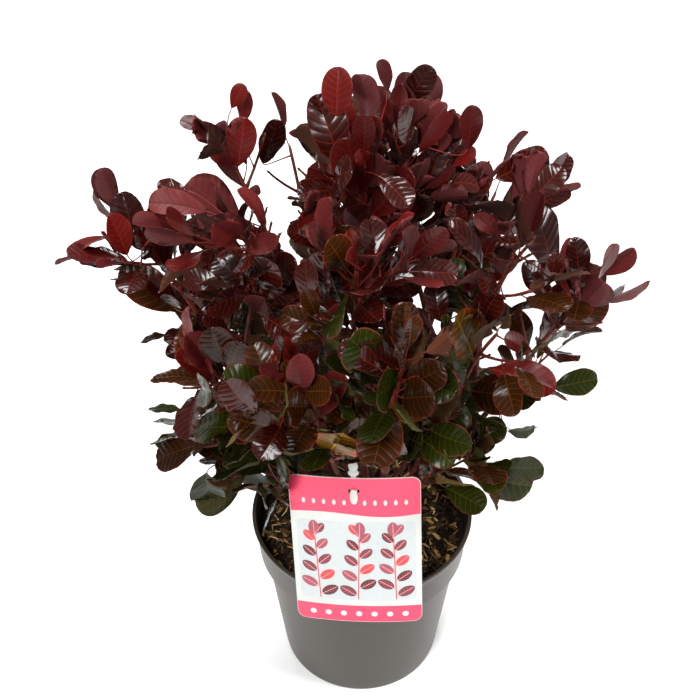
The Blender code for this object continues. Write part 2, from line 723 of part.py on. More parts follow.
def hangs_free(points):
    """True for a leaf that hangs neither too low nor over the card or a gap, seen from EYE."""
    neck, middle, end = points[2], points[5], points[8]
    if any(covers_sky(point) for point in points + [(neck + middle) / 2, (middle + end) / 2]):
        return False
    card_top = POT_HEIGHT + CARD_RISE + CARD_HEIGHT / 2
    for point in points:
        if point.z < POT_HEIGHT + LOWEST_LEAF:
            return False
        beside_card = abs(point.x - CARD_OFFSET) > CARD_WIDTH / 2 + 0.004
        if not beside_card and point.z < card_top + SIGHT_SLOPE * (-CARD_BACK - point.y):
            return False
    return True


def leaf_directions(ahead, radial, share, attempt, light, draw):
    """Directions of petiole and blade, held up round the shoot like a vase, and the blade's upper side."""
    open_angle = math.radians(60 - 32 * share - 3 * attempt + draw.uniform(-16, 16))
    petiole = (ahead * math.cos(open_angle) + radial * math.sin(open_angle)).normalized()
    blade = (petiole + radial * draw.uniform(-0.35, 0.35) + UP * draw.uniform(-0.25, 0.50)).normalized()
    shake = Vector((draw.uniform(-1, 1), draw.uniform(-1, 1), draw.uniform(-1, 1)))
    upper = square_to(ahead * 0.7 + light * 0.25 + shake * 0.9, blade)
    return petiole, blade, upper


def side_twigs(shoot, count, draw):
    """Curves of the side twigs, dealt round the stem by the golden angle."""
    twigs = []
    path = shoot["path"]
    turn = draw.uniform(0, 2 * math.pi)
    for k in range(count):
        share = shoot["leafy"] + (1 - shoot["leafy"]) * (0.16 + 0.58 * k / max(1, count - 1))
        start, ahead = point_at(path, share)
        turn += GOLDEN_ANGLE
        side = square_to(shoot["outward"] + UP * 0.2, ahead)
        radial = side * math.cos(turn) + ahead.cross(side) * math.sin(turn)
        open_angle = math.radians(draw.uniform(42, 54))
        heading = (ahead * math.cos(open_angle) + radial * math.sin(open_angle)).normalized()
        length = TWIG_LENGTH * draw.uniform(0.75, 1.0)
        tip = start + (heading + UP * 0.15).normalized() * length
        twigs.append(curve_points(start, heading, tip, (heading + UP * 0.4).normalized()))
    return twigs


def stem_points(shoot):
    """Points of the leafy stem, from the bough's end, or on a low shoot from the trunk, to the tip."""
    if shoot["low"]:
        return line_between(shoot["path"], 0, 1, 6)
    return line_between(shoot["path"], shoot["leafy"], 1, 5)


def lone_leaves(shoot):
    """Every lone leaf as this shoot would carry it, on a stalk from the nearest place of its stem."""
    bare = shoot["leafy"] if shoot["low"] else 0
    stem = line_between(stem_points(shoot), bare + ABOVE_BOUGH, 1, 24)
    found = []
    for neck, end, turn in LONE_LEAVES:
        neck = Vector(neck)
        length = (Vector(end) - neck).length
        place = min(stem, key=lambda point: (point - neck).length)
        petiole = (neck - place).normalized()
        blade = (Vector(end) - neck).normalized()
        upper = Matrix.Rotation(math.radians(turn), 3, blade) @ square_to(EYE - neck, blade)
        size = length / BLADE_LENGTH
        found.append((place - petiole * 0.0002, petiole, blade, upper, size, (neck - place).length))
    return found


def grow_foliage(number, shoot, spaces, limbs, finish):
    """One foliage node: the shoot's stem, its side twigs, and leaves that keep to its space."""
    draw = random.Random(SEED * 1000 + number)
    path = shoot["path"]
    leafy = shoot["leafy"]
    first = 0 if shoot["low"] else leafy
    stem = stem_points(shoot)
    steps = len(stem) - 1
    stem[0] = stem[0] + (shoot["heading"] if shoot["low"] else (stem[1] - stem[0]).normalized()) * CLEAR
    radii = [bough_radius(shoot, first + (1 - first) * k / steps) for k in range(steps + 1)]
    parts = [tube(stem, radii, STEM_SIDES)]
    axes = [(path, leafy, 1)]
    for twig in side_twigs(shoot, 3, draw):
        points = line_between(twig, 0, 1, 2)
        solid = tube(points, [TWIG_ROOT_RADIUS, TWIG_RADIUS, TWIG_TIP_RADIUS], TWIG_SIDES)
        beyond = tube(line_between(twig, 0.05, 1, 2), [0.002] * 3, TWIG_SIDES)
        if not spaces.holds(number, points[1:]) or tree_of([beyond]).overlap(limbs):
            continue
        parts.append(solid)
        axes.append((twig, 0.3, 1))
    light = (UP * 0.75 + shoot["outward"] * 0.6).normalized()
    leaves = []
    for lone in lone_leaves(shoot):
        leaf = leaf_solid(*lone)
        touched = tree_of([leaf_test(*lone)])
        clear = not touched.overlap(limbs) and not touched.overlap(tree_of(parts + leaves))
        if clear and spaces.holds(number, leaf[0][3:]):
            leaves.append(leaf)
    taken = tree_of(parts + leaves)
    for line, low, high in axes:
        length = sum((b - a).length for a, b in zip(line, line[1:])) * (high - low)
        count = max(2, round(length / LEAF_GAP))
        turn = draw.uniform(0, 2 * math.pi)
        for k in range(count + 1):
            share = (k + 0.35) / (count + 0.35)
            turn += GOLDEN_ANGLE
            for attempt in range(LEAF_TRIES):
                place, along = point_at(line, low + (high - low) * share)
                side = square_to(shoot["outward"] + UP * 0.2, along)
                swing = turn + draw.uniform(-0.4, 0.4) * (1 + 0.5 * attempt)
                radial = side * math.cos(swing) + along.cross(side) * math.sin(swing)
                petiole, blade, upper = leaf_directions(along, radial, share, attempt, light, draw)
                size = draw.uniform(0.74, 1.10) * (1.0 - 0.18 * share ** 3) * (1.0 - 0.012 * attempt)
                root = place - petiole * 0.0002
                petiole_length = PETIOLE * draw.uniform(0.75, 1.35) * (1.0 - 0.03 * attempt)
                leaf = leaf_solid(root, petiole, blade, upper, size, petiole_length)
                if not spaces.holds(number, leaf[0][3:]) or not hangs_free(leaf[0][3:]):
                    continue
                test = leaf_test(root, petiole, blade, upper, size, petiole_length)
                if tree_of([test]).overlap(limbs) or tree_of([test]).overlap(taken):
                    continue
                leaves.append(leaf)
                taken = tree_of(parts + leaves)
                break
    union("foliage_" + shoot["name"], parts + leaves, finish)
    return len(leaves)


def leaf_test(root, ahead, blade_ahead, upper, size, petiole_length):
    """A slightly larger leaf without its root, to find out what the leaf would touch."""
    start = root + ahead * 0.004
    points, faces = leaf_solid(start, ahead, blade_ahead, upper, size * 1.03, petiole_length - 0.004)
    points = [point + upper * 0.0008 if n in (6, 7, 9, 10) else point for n, point in enumerate(points)]
    return points, faces


def main():
    clear_scene()
    plastic = material("pot_plastic", (0.045, 0.042, 0.041), 0.42)
    soil = material("potting_mix", (0.060, 0.036, 0.022), 0.95)
    card = material("card_print", (0.78, 0.20, 0.34), 0.35)
    white = material("clip_plastic", (0.85, 0.85, 0.83), 0.35)
    bark = material("bark", (0.15, 0.060, 0.040), 0.7)
    red = material("foliage_red", (0.085, 0.012, 0.018), 0.4)
    green = material("foliage_green", (0.045, 0.060, 0.016), 0.4)
    make_pot(plastic)
    make_soil(soil)
    make_card(card)
    make_clip(white)
    shoots = plan_shoots()
    limb_parts = [trunk_tube()] + collars_on("trunk", shoots)
    union("trunk", limb_parts, bark)
    for shoot in shoots.values():
        if shoot["low"]:
            continue
        parts = [bough_tube(shoot)] + collars_on(shoot["name"], shoots)
        union("bough_" + shoot["name"], parts, bark)
        limb_parts += parts
    limbs = tree_of(limb_parts + [card_guard()])
    spaces = Spaces(shoots)
    total = 0
    for number, shoot in enumerate(shoots.values()):
        finish = green if shoot["low"] else red
        total += grow_foliage(number, shoot, spaces, limbs, finish)
    print("leaves", total)


main()
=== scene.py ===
"""The looks of the potted smoke bush: bark, leaves, pot, potting mix and card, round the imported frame."""

import json
import math
import random

import bmesh
import bpy
import numpy as np
from mathutils import Matrix, Vector, noise
from mathutils.bvhtree import BVHTree

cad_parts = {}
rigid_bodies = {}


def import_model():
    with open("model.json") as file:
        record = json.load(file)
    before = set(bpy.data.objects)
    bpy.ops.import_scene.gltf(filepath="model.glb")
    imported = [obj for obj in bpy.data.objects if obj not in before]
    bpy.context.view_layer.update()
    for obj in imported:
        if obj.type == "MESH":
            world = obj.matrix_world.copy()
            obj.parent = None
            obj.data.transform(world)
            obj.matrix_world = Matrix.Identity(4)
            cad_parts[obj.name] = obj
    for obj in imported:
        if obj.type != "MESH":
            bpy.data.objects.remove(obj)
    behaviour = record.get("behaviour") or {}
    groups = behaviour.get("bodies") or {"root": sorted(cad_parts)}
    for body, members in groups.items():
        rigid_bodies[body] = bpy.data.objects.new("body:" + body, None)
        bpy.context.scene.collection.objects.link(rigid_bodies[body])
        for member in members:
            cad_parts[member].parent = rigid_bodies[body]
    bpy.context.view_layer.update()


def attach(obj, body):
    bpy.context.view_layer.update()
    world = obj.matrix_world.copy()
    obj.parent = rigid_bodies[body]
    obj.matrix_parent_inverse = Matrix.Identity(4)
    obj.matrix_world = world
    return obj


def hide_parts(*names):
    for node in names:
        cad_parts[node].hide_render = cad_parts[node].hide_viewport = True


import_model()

# Sizes of the pot, the card and the plant, as in the part's source
RIM_RADIUS = 0.110
POT_HEIGHT = 0.1926
BASE_RADIUS = 0.0819
COLLAR_HEIGHT = 0.0448
COLLAR_RADIUS = 0.1043
COLLAR_STEP = 0.0058
WALL = 0.0018
LIP = 0.0022
SOIL_DROP = 0.025
SOIL_RELIEF = 0.003
CLEAR = 0.0003
CARD_WIDTH = 0.118
CARD_HEIGHT = 0.165
CARD_THICKNESS = 0.0009
CARD_CORNER = 0.008
CARD_BOW = 0.005
CARD_OFFSET = -0.006
CARD_RISE = 0.052
CARD_TURN = math.radians(-5.5)
CARD_LEAN = math.radians(10.7)
CARD_ROLL = math.radians(3.2)
SLOT_WIDTH = 0.010
SLOT_HEIGHT = 0.004
SLOT_DROP = 0.014
KNOB_RISE = 0.012
TRUNK_FOOT = Vector((0.002, 0.004, 0.0))
TRUNK_TOP = Vector((0.006, -0.002, 0.056))
TRUNK_RADIUS = 0.0105
TRUNK_TOP_RADIUS = 0.0085
FLARE_RADIUS = 0.019
FLARE_HEIGHT = 0.016
TRUNK_SIDES = 10
BOUGH_SIDES = 6
STEM_SIDES = 3
TWIG_SIDES = 3
STEM_TIP_RADIUS = 0.0013
TWIG_ROOT_RADIUS = 0.0009
TWIG_RADIUS = 0.0014
TWIG_TIP_RADIUS = 0.0012
PATH_STEPS = 12
PETIOLE = 0.019
PETIOLE_RADIUS = 0.0008
PETIOLE_ROOT_RADIUS = 0.0004
BLADE_LENGTH = 0.060
BLADE_WIDTH = 0.035
BLADE_THICKNESS = 0.0013
BLADE_WIDEST = 0.56
BLADE_END = 0.52
BLADE_CUP = 0.10
BLADE_DROOP = 0.06
LEAF_GAP = 0.0125
GOLDEN_ANGLE = math.radians(137.5)
LEAF_TRIES = 22
TWIG_LENGTH = 0.050
SPACE_MARGIN = 0.0012
SPACE_REACH = 0.078
LOWEST_LEAF = 0.030
ABOVE_BOUGH = 0.06
SIGHT_SLOPE = 1.05
CARD_BACK = 0.080
CARD_GUARD = 0.003
BESIDE_CARD = 0.004
ROOT_INSET = 0.0002
SEED = 44
SOIL_TOP = POT_HEIGHT - SOIL_DROP
STEP_HEIGHT = POT_HEIGHT - COLLAR_HEIGHT
CARD_TOP = POT_HEIGHT + CARD_RISE + CARD_HEIGHT / 2
SLOT_UP = CARD_HEIGHT / 2 - SLOT_DROP
UP = Vector((0, 0, 1))

# Gaps where the sky shows between the sprays, seen from EYE in front and above: each is the place
# across and up where the line of sight meets the plane y = 0, and the gap's half width and height
EYE = Vector((-0.012, -0.818, 1.091))
SKY_GAPS = (
    (-0.065, 0.600, 0.011, 0.021),
    (-0.080, 0.635, 0.010, 0.018),
    (-0.053, 0.648, 0.008, 0.008),
    (-0.010, 0.667, 0.006, 0.011),
    (-0.025, 0.683, 0.018, 0.012),
    (-0.053, 0.608, 0.008, 0.022),
    (-0.119, 0.650, 0.010, 0.013),
    (0.101, 0.623, 0.006, 0.008),
    (-0.194, 0.565, 0.018, 0.007),
    (-0.146, 0.589, 0.006, 0.009),
    (-0.060, 0.512, 0.008, 0.010),
    (-0.074, 0.547, 0.010, 0.010),
    (-0.077, 0.584, 0.010, 0.011),
    (-0.106, 0.566, 0.008, 0.016),
    (-0.215, 0.459, 0.019, 0.012),
    (-0.191, 0.443, 0.012, 0.009),
    (-0.190, 0.429, 0.008, 0.017),
    (-0.180, 0.390, 0.008, 0.009),
    (-0.173, 0.346, 0.014, 0.015),
    (-0.162, 0.251, 0.011, 0.018),
    (-0.122, 0.204, 0.013, 0.013),
    (0.111, 0.566, 0.008, 0.015),
    (0.179, 0.537, 0.014, 0.015),
    (0.142, 0.514, 0.009, 0.012),
    (0.130, 0.480, 0.009, 0.011),
    (0.147, 0.433, 0.009, 0.016),
    (0.123, 0.401, 0.014, 0.017),
    (0.178, 0.388, 0.015, 0.016),
    (0.218, 0.480, 0.015, 0.010),
    (0.246, 0.436, 0.039, 0.014),
    (0.221, 0.398, 0.023, 0.024),
    (0.182, 0.339, 0.019, 0.007),
    (0.144, 0.281, 0.012, 0.015),
    (0.152, 0.316, 0.015, 0.009),
)

# Leaves that stand out from the crown on long stalks: where each blade begins, where it ends, and by
# how many degrees it is turned away from EYE
LONE_LEAVES = (
    ((0.165, -0.040, 0.391), (0.204, -0.040, 0.402), 0),
    ((-0.143, -0.080, 0.361), (-0.188, -0.080, 0.345), 20),
    ((-0.142, -0.060, 0.306), (-0.146, -0.060, 0.250), 10),
    ((-0.175, 0.030, 0.299), (-0.206, 0.030, 0.307), 50),
    ((0.094, -0.088, 0.331), (0.151, -0.088, 0.315), 10),
    ((0.132, -0.030, 0.328), (0.160, -0.030, 0.326), 60),
    ((0.186, -0.020, 0.501), (0.223, -0.020, 0.519), 55),
    ((0.190, -0.050, 0.495), (0.232, -0.050, 0.506), 60),
    ((-0.205, 0.030, 0.475), (-0.247, 0.030, 0.486), 40),
    ((-0.185, 0.050, 0.511), (-0.227, 0.050, 0.493), 0),
    ((0.126, -0.040, 0.585), (0.150, -0.040, 0.613), 10),
    ((0.133, -0.020, 0.581), (0.162, -0.020, 0.606), 40),
    ((-0.023, 0.010, 0.629), (-0.021, 0.010, 0.668), 0),
    ((0.032, 0.070, 0.605), (0.054, 0.070, 0.639), 10),
    ((0.086, 0.050, 0.575), (0.087, 0.050, 0.614), 0),
    ((-0.129, 0.070, 0.583), (-0.154, 0.070, 0.593), 10),
    ((-0.100, 0.080, 0.586), (-0.100, 0.080, 0.613), 10),
    ((-0.106, 0.050, 0.559), (-0.098, 0.050, 0.603), 0),
    ((0.179, -0.020, 0.494), (0.170, -0.020, 0.531), 0),
    ((0.147, -0.050, 0.524), (0.142, -0.050, 0.583), 50),
    ((0.115, 0.080, 0.529), (0.160, 0.080, 0.552), 20),
    ((-0.196, 0.030, 0.489), (-0.201, 0.030, 0.541), 0),
    ((0.146, 0.000, 0.403), (0.135, 0.000, 0.442), 30),
    ((0.134, -0.100, 0.478), (0.111, -0.100, 0.501), 60),
    ((0.137, -0.010, 0.382), (0.121, -0.010, 0.411), 55),
    ((0.160, 0.010, 0.449), (0.148, 0.010, 0.490), 50),
    ((0.173, -0.020, 0.439), (0.204, -0.020, 0.471), 10),
    ((0.160, -0.020, 0.436), (0.188, -0.020, 0.434), 60),
    ((0.191, -0.030, 0.482), (0.219, -0.030, 0.486), 55),
    ((-0.110, 0.070, 0.603), (-0.099, 0.070, 0.624), 10),
    ((-0.177, 0.010, 0.409), (-0.202, 0.010, 0.406), 50),
    ((-0.093, 0.140, 0.507), (-0.075, 0.140, 0.549), 30),
    ((0.017, 0.020, 0.645), (0.015, 0.020, 0.671), 40),
    ((-0.134, -0.060, 0.607), (-0.155, -0.060, 0.613), 20),
    ((0.131, -0.040, 0.340), (0.157, -0.040, 0.332), 50),
    ((0.156, -0.040, 0.376), (0.142, -0.040, 0.398), 40),
)

# Each shoot: name, azimuth in degrees from +X, reach from the axis and height over the rim in
# metres, the limb that it leaves, how far along that limb, and its radius where it starts
MAIN_SHOOTS = (
    ("right", -10, 0.190, 0.296, "trunk", 0.72, 0.0040),
    ("back_right", 44, 0.168, 0.296, "trunk", 0.86, 0.0040),
    ("back", 96, 0.178, 0.288, "trunk", 0.70, 0.0040),
    ("back_left", 114, 0.166, 0.324, "trunk", 0.88, 0.0040),
    ("left", 168, 0.208, 0.312, "trunk", 0.74, 0.0040),
    ("front_left", -109, 0.150, 0.288, "trunk", 0.66, 0.0036),
    ("front_right", -80, 0.160, 0.330, "trunk", 0.84, 0.0042),
    ("top_centre", -75, 0.002, 0.408, "trunk", 1.0, 0.0040),
)
SIDE_SHOOTS = (
    ("right_front", -38, 0.132, 0.292, "right", 0.22, 0.0031),
    ("top_right_front", -22, 0.140, 0.364, "right", 0.40, 0.0028),
    ("right_back", 38, 0.128, 0.316, "back_right", 0.20, 0.0031),
    ("top_right", 56, 0.062, 0.396, "back_right", 0.40, 0.0028),
    ("top_back", 72, 0.096, 0.368, "back", 0.32, 0.0029),
    ("left_back", 150, 0.136, 0.376, "back_left", 0.22, 0.0031),
    ("top_left", 120, 0.056, 0.372, "back_left", 0.42, 0.0028),
    ("left_front", -146, 0.152, 0.260, "left", 0.24, 0.0031),
    ("top_left_front", -146, 0.120, 0.390, "left", 0.40, 0.0028),
    ("top_front", -94, 0.104, 0.372, "front_right", 0.36, 0.0029),
)
LOW_SHOOTS = (
    ("middle_right", -22, 0.090, 0.172, "trunk", 0.50, 0.0022),
    ("middle_front", -90, 0.092, 0.190, "trunk", 0.56, 0.0022),
    ("middle_left_front", -150, 0.134, 0.166, "trunk", 0.46, 0.0022),
    ("middle_left", 150, 0.132, 0.176, "trunk", 0.54, 0.0022),
    ("middle_back", 124, 0.148, 0.166, "trunk", 0.48, 0.0022),
    ("middle_back_right", 30, 0.130, 0.166, "trunk", 0.58, 0.0022),
    ("low_right_front", -30, 0.112, 0.149, "trunk", 0.36, 0.0020),
    ("low_left_front", -166, 0.124, 0.100, "trunk", 0.32, 0.0020),
    ("low_left", 166, 0.162, 0.138, "trunk", 0.36, 0.0020),
    ("low_back", 66, 0.106, 0.080, "trunk", 0.30, 0.0020),
)

# Sizes that only the finished surfaces need
FINE_GAP = 0.025
FINE_TRIES = 9
FINE_REACH = 0.020
FINE_SKY = 1.35
TWIGLET_GAP = 0.030
TWIGLET_LENGTH = 0.026
TIP_LEAVES = 2
VEINS = 8
MIDRIB_HALF = 0.013
VEIN_HALF = 0.0052
LEAF_THICKNESS = 0.010
COLUMNS = (0.0, 0.34, 0.70, 0.94, 1.0)
FORMS_PER_KIND = 7
STALK_RADII = (0.00115, 0.00078, 0.00066, 0.00062, 0.00062, 0.00050)
STALK_SIDES = 5
STEM_ROWS = 18
THINNEST_STEM = 0.0011
TWIG_ROWS = 7
TWIG_SWELLING = 0.0006
BUD_RADII = (0.0007, 0.0011, 0.0012, 0.0008, 0.0002)
BUD_PLACES = (-0.0008, 0.0004, 0.0014, 0.0026, 0.0036)
TRUNK_RELIEF = 0.13
BOUGH_RELIEF = 0.12
STEM_RELIEF = 0.10
TWIG_RELIEF = 0.08
TRUNK_ROWS = 40
TRUNK_DOME = 0.007
BOUGH_ROWS = 30
OLD_BOUGH = 0.0034
POT_SIDES = 144
FLOOR_HOLLOW = 0.0016
FOOT_ROUND = 0.0030
STEP_ROUND = 0.0022
COLLAR_ROUND = 0.0016
LIP_ROUND = 0.0009
INNER_FLOOR = WALL + 0.0030
DRAIN_HOLES = 8
DRAIN_CIRCLE = 0.052
DRAIN_RADIUS = 0.0065
DRAIN_DEPTH = 0.0076
SOIL_SIDES = 150
SOIL_RINGS = 46
SOIL_GAP = 0.0004
CHIPS = 1800
CHIP_SIDES = 5
CARD_COLUMNS = 28
CORNER_STEPS = 8
PRINT_RISE = 0.00006
PRINT_SINK = 0.0001
PRINT_EDGE = 0.0004
HEADER_DEPTH = 0.040
SPRIG_LEAVES = 9
SPRIG_PITCH = 0.0088
CLIP_CORNER = 0.0005
CLIP_BEHIND = CARD_THICKNESS / 2 + 0.0014
LOBE_ROWS = 12
LOBE_SIDES = 20

# Radius at the root and at the tip, and sides, of the side twigs and of the finer ones
SIDE_TWIG = (0.0014, 0.0010, 8)
FINE_TWIG = (0.0010, 0.0007, 6)

# Length, width, thickness and height over the soil of chips and of fibres, each from least to most;
# the thickness of a fibre is a share of its width
CHIP_SIZES = ((0.005, 0.012), (0.0024, 0.0056), (0.0010, 0.0024), (-0.0006, 0.0024))
FIBRE_SIZES = ((0.006, 0.017), (0.0009, 0.0022), (0.5, 0.9), (-0.0004, 0.0034))
FIBRE_SHARE = 0.55

# Finishes of the chips, and how many of the chips and of the fibres have that finish or one before it
CHIP_FINISHES = ("chip_dark", "chip_brown", "chip_red", "chip_mid", "chip_tan", "chip_pale")
CHIP_LIMITS = (0.40, 0.68, 0.80, 0.92, 0.985, 1.0)
FIBRE_LIMITS = (0.34, 0.58, 0.66, 0.82, 0.95, 1.0)

# Where the camera of the photograph stood
CAMERA_PLACE = (-0.0120, -0.8176, 1.0910)
CAMERA_TILT = math.radians(49.81)
CAMERA_LENS = 61.71


def turns(count):
    """Angles of a full turn in even steps."""
    return [2 * math.pi * k / count for k in range(count)]


def turned(profile, sides):
    """Points and faces of a profile of (radius, height) turned round Z, closed on the axis."""
    points = []
    rings = []
    for radius, height in profile:
        ring = [Vector((radius * math.cos(turn), radius * math.sin(turn), height)) for turn in turns(sides)]
        rings.append(range(len(points), len(points) + (sides if radius else 1)))
        points += ring[:len(rings[-1])]
    faces = []
    for lower, upper in zip(rings, rings[1:]):
        for k in range(sides):
            corner = [lower[k % len(lower)], lower[(k + 1) % sides % len(lower)],
                      upper[(k + 1) % sides % len(upper)], upper[k % len(upper)]]
            faces.append(list(dict.fromkeys(corner)))
    return points, faces


def quads(rings, sides):
    """Faces that join each ring of points to the next."""
    pairs = [(n, (n + 1) % sides) for n in range(sides)]
    return [(low + n, low + m, low + sides + m, low + sides + n)
            for low in range(0, (rings - 1) * sides, sides) for n, m in pairs]


def frames_along(points):
    """At each point of a line, two directions square to the line and to each other."""
    found = []
    side = None
    for k in range(len(points)):
        ahead = (points[min(k + 1, len(points) - 1)] - points[max(k - 1, 0)]).normalized()
        side = square_to(side if side else ahead.orthogonal(), ahead)
        found.append((side, ahead.cross(side)))
    return found


def tube(points, radii, sides):
    """Points and faces of a tapering limb along a line of points, flat at both ends."""
    corners = []
    for point, radius, (side, other) in zip(points, radii, frames_along(points)):
        corners += [point + radius * (side * math.cos(turn) + other * math.sin(turn))
                    for turn in turns(sides)]
    ends = [range(sides)[::-1], range(len(corners) - sides, len(corners))]
    return corners, [list(end) for end in ends] + quads(len(points), sides)


def square_to(direction, axis):
    """The part of a direction that is square to an axis, as a unit vector."""
    return (direction - axis * direction.dot(axis)).normalized()


def inner_radius(height):
    """Radius of the pot's inner wall at a height."""
    if height < STEP_HEIGHT:
        share = height / STEP_HEIGHT
        return BASE_RADIUS + (COLLAR_RADIUS - COLLAR_STEP - BASE_RADIUS) * share - WALL
    share = (height - STEP_HEIGHT) / COLLAR_HEIGHT
    return COLLAR_RADIUS + (RIM_RADIUS - LIP - COLLAR_RADIUS) * share - WALL


def card_matrix():
    """Place of the card: its middle, turned, leaning back, and its back just off the rim."""
    turn = Matrix.Rotation(CARD_TURN, 4, "Z") @ Matrix.Rotation(-CARD_LEAN, 4, "X") @ Matrix.Rotation(
        -CARD_ROLL, 4, "Y")
    back = turn @ Vector((0, 1, 0))
    touch = -RIM_RADIUS * Vector((back.x, back.y, 0)).normalized() + Vector((0, 0, POT_HEIGHT))
    middle = Vector((CARD_OFFSET, 0, POT_HEIGHT + CARD_RISE))
    reach = (touch - back * (CARD_THICKNESS / 2 + CARD_BOW * 0.1 + CLEAR) - middle).dot(back) / back.y
    return Matrix.Translation(middle + Vector((0, reach, 0))) @ turn


def card_outline(half_across, half_up, corner, steps):
    """Outline of a card with round corners, as (across, up)."""
    points = []
    for quarter, (side, top) in enumerate(((1, 1), (-1, 1), (-1, -1), (1, -1))):
        for k in range(steps + 1):
            turn = math.pi / 2 * (quarter + k / steps)
            points.append((side * (half_across - corner) + corner * math.cos(turn),
                           top * (half_up - corner) + corner * math.sin(turn)))
    return points


def bar(start, end, width, thickness, across):
    """Points and faces of a flat bar between two points."""
    ahead = (end - start).normalized()
    wide = square_to(across, ahead) * (width / 2)
    thick = ahead.cross(wide).normalized() * (thickness / 2)
    section = [wide * x + thick * y for x, y in ((-1, -1), (1, -1), (1, 1), (-1, 1))]
    corners = [at + corner for at in (start, end) for corner in section]
    faces = [(0, 1, 2, 3), (4, 5, 6, 7), (0, 1, 5, 4), (1, 2, 6, 5), (2, 3, 7, 6), (3, 0, 4, 7)]
    return corners, faces


def card_guard():
    """Points and faces of a slab a little larger than the card, which leaves keep out of."""
    place = card_matrix()
    wide = CARD_WIDTH / 2 + CARD_GUARD
    high = CARD_HEIGHT / 2 + CARD_GUARD
    low_end, high_end = [place @ Vector((0, CARD_BOW / 2, up)) for up in (-high, high)]
    across = place.to_3x3() @ Vector((1, 0, 0))
    return bar(low_end, high_end, 2 * wide, CARD_BOW + 2 * CARD_GUARD, across)


def trunk_point(share):
    """Point on the trunk's axis, from its foot at 0 to its top at 1, over the soil."""
    lean = TRUNK_FOOT.lerp(TRUNK_TOP, share)
    return lean + Vector((0.0018 * math.sin(math.pi * share), 0, SOIL_TOP + CLEAR))


def trunk_radius(share):
    """Radius of the trunk, with its root flare at the foot."""
    height = share * (TRUNK_TOP.z - TRUNK_FOOT.z)
    flare = (FLARE_RADIUS - TRUNK_RADIUS) * max(0, 1 - height / FLARE_HEIGHT) ** 2
    return TRUNK_RADIUS + (TRUNK_TOP_RADIUS - TRUNK_RADIUS) * share + flare


def trunk_tube():
    shares = (0, 0.08, 0.17, 0.32, 0.55, 0.80, 1.0)
    points = [trunk_point(share) for share in shares]
    corners, faces = tube(points, [trunk_radius(share) for share in shares], TRUNK_SIDES)
    for corner in corners[:TRUNK_SIDES]:
        corner.z = SOIL_TOP + CLEAR
    return corners, faces


def curve_points(start, heading, tip, arrival):
    """Points along one smooth curve that starts along a heading and arrives along another."""
    length = (tip - start).length
    pull = start + heading * (0.42 * length)
    push = tip - arrival * (0.34 * length)
    points = []
    for k in range(PATH_STEPS + 1):
        t = k / PATH_STEPS
        s = 1 - t
        points.append(start * s ** 3 + pull * (3 * s * s * t) + push * (3 * s * t * t) + tip * t ** 3)
    return points


def point_at(points, share):
    """Point and direction at a share of a line of points."""
    place = min(max(share, 0), 1) * (len(points) - 1)
    k = min(int(place), len(points) - 2)
    ahead = points[k + 1] - points[k]
    return points[k] + ahead * (place - k), ahead.normalized()


def line_between(points, start, end, steps):
    """Points of the stretch between two shares, evenly stepped."""
    return [point_at(points, start + (end - start) * k / steps)[0] for k in range(steps + 1)]


def plan_shoots():
    """Work out every shoot: where it leaves its parent, its collar, and its curve to the tip."""
    shoots = {}
    order = [(row, 0.50) for row in MAIN_SHOOTS] + [(row, 0.42) for row in SIDE_SHOOTS]
    order += [(row, 0.40) for row in LOW_SHOOTS]
    for row, leafy in order:
        name, azimuth, reach, height, parent, fork, radius = row
        turn = math.radians(azimuth)
        outward = Vector((math.cos(turn), math.sin(turn), 0))
        tip = outward * reach + UP * (POT_HEIGHT + height)
        spread = min(1, reach / 0.19)
        low = row in LOW_SHOOTS
        if parent == "trunk":
            start = trunk_point(fork)
            parent_heading = UP
            parent_radius = trunk_radius(fork)
            rise = math.radians(78 - 40 * spread - (18 if low else 0))
            heading = (outward * math.cos(rise) + UP * math.sin(rise)).normalized()
            collar = 0.004
            if fork < 1:
                collar = (parent_radius + radius * math.sin(rise) + 0.0012) / max(0.3, math.cos(rise))
        else:
            source = shoots[parent]
            start, parent_heading = point_at(source["path"], fork)
            parent_radius = bough_radius(source, fork)
            heading = (parent_heading * 0.75 + (tip - start).normalized()).normalized()
            side = square_to(tip - start, parent_heading)
            least = math.radians(34)
            if heading.angle(parent_heading) < least:
                heading = parent_heading * math.cos(least) + side * math.sin(least)
            angle = heading.angle(parent_heading)
            collar = (parent_radius + radius * math.cos(angle) + 0.0012) / math.sin(angle)
        lean = math.radians(8 + 30 * spread + (26 if low else 0))
        arrival = (outward * math.sin(lean) + UP * math.cos(lean)).normalized()
        foot = start + heading * collar
        shoots[name] = {
            "name": name, "parent": parent, "fork": fork, "root": start, "foot": foot, "heading": heading,
            "radius": radius, "leafy": leafy, "low": low, "outward": outward,
            "path": curve_points(foot, heading, tip, arrival),
        }
    return shoots


def bough_radius(shoot, share):
    """Radius of a shoot's limb, tapering evenly to the radius of its tip."""
    return shoot["radius"] + (STEM_TIP_RADIUS - shoot["radius"]) * share ** 0.9


def collar_tube(shoot):
    """The short cone that a parent limb puts out to meet this shoot, flat at its end."""
    root_radius = shoot["radius"] * 1.25
    sides = STEM_SIDES if shoot["low"] else BOUGH_SIDES
    return tube([shoot["root"], shoot["foot"]], [root_radius, shoot["radius"]], sides)


def collars_on(name, shoots):
    return [collar_tube(shoot) for shoot in shoots.values() if shoot["parent"] == name]


def bough_tube(shoot):
    """The bare limb from the collar to where the leaves begin."""
    path = shoot["path"]
    steps = 4
    points = line_between(path, 0, shoot["leafy"], steps)
    points[0] = path[0] + shoot["heading"] * CLEAR
    radii = [bough_radius(shoot, shoot["leafy"] * k / steps) for k in range(steps + 1)]
    return tube(points, radii, BOUGH_SIDES)


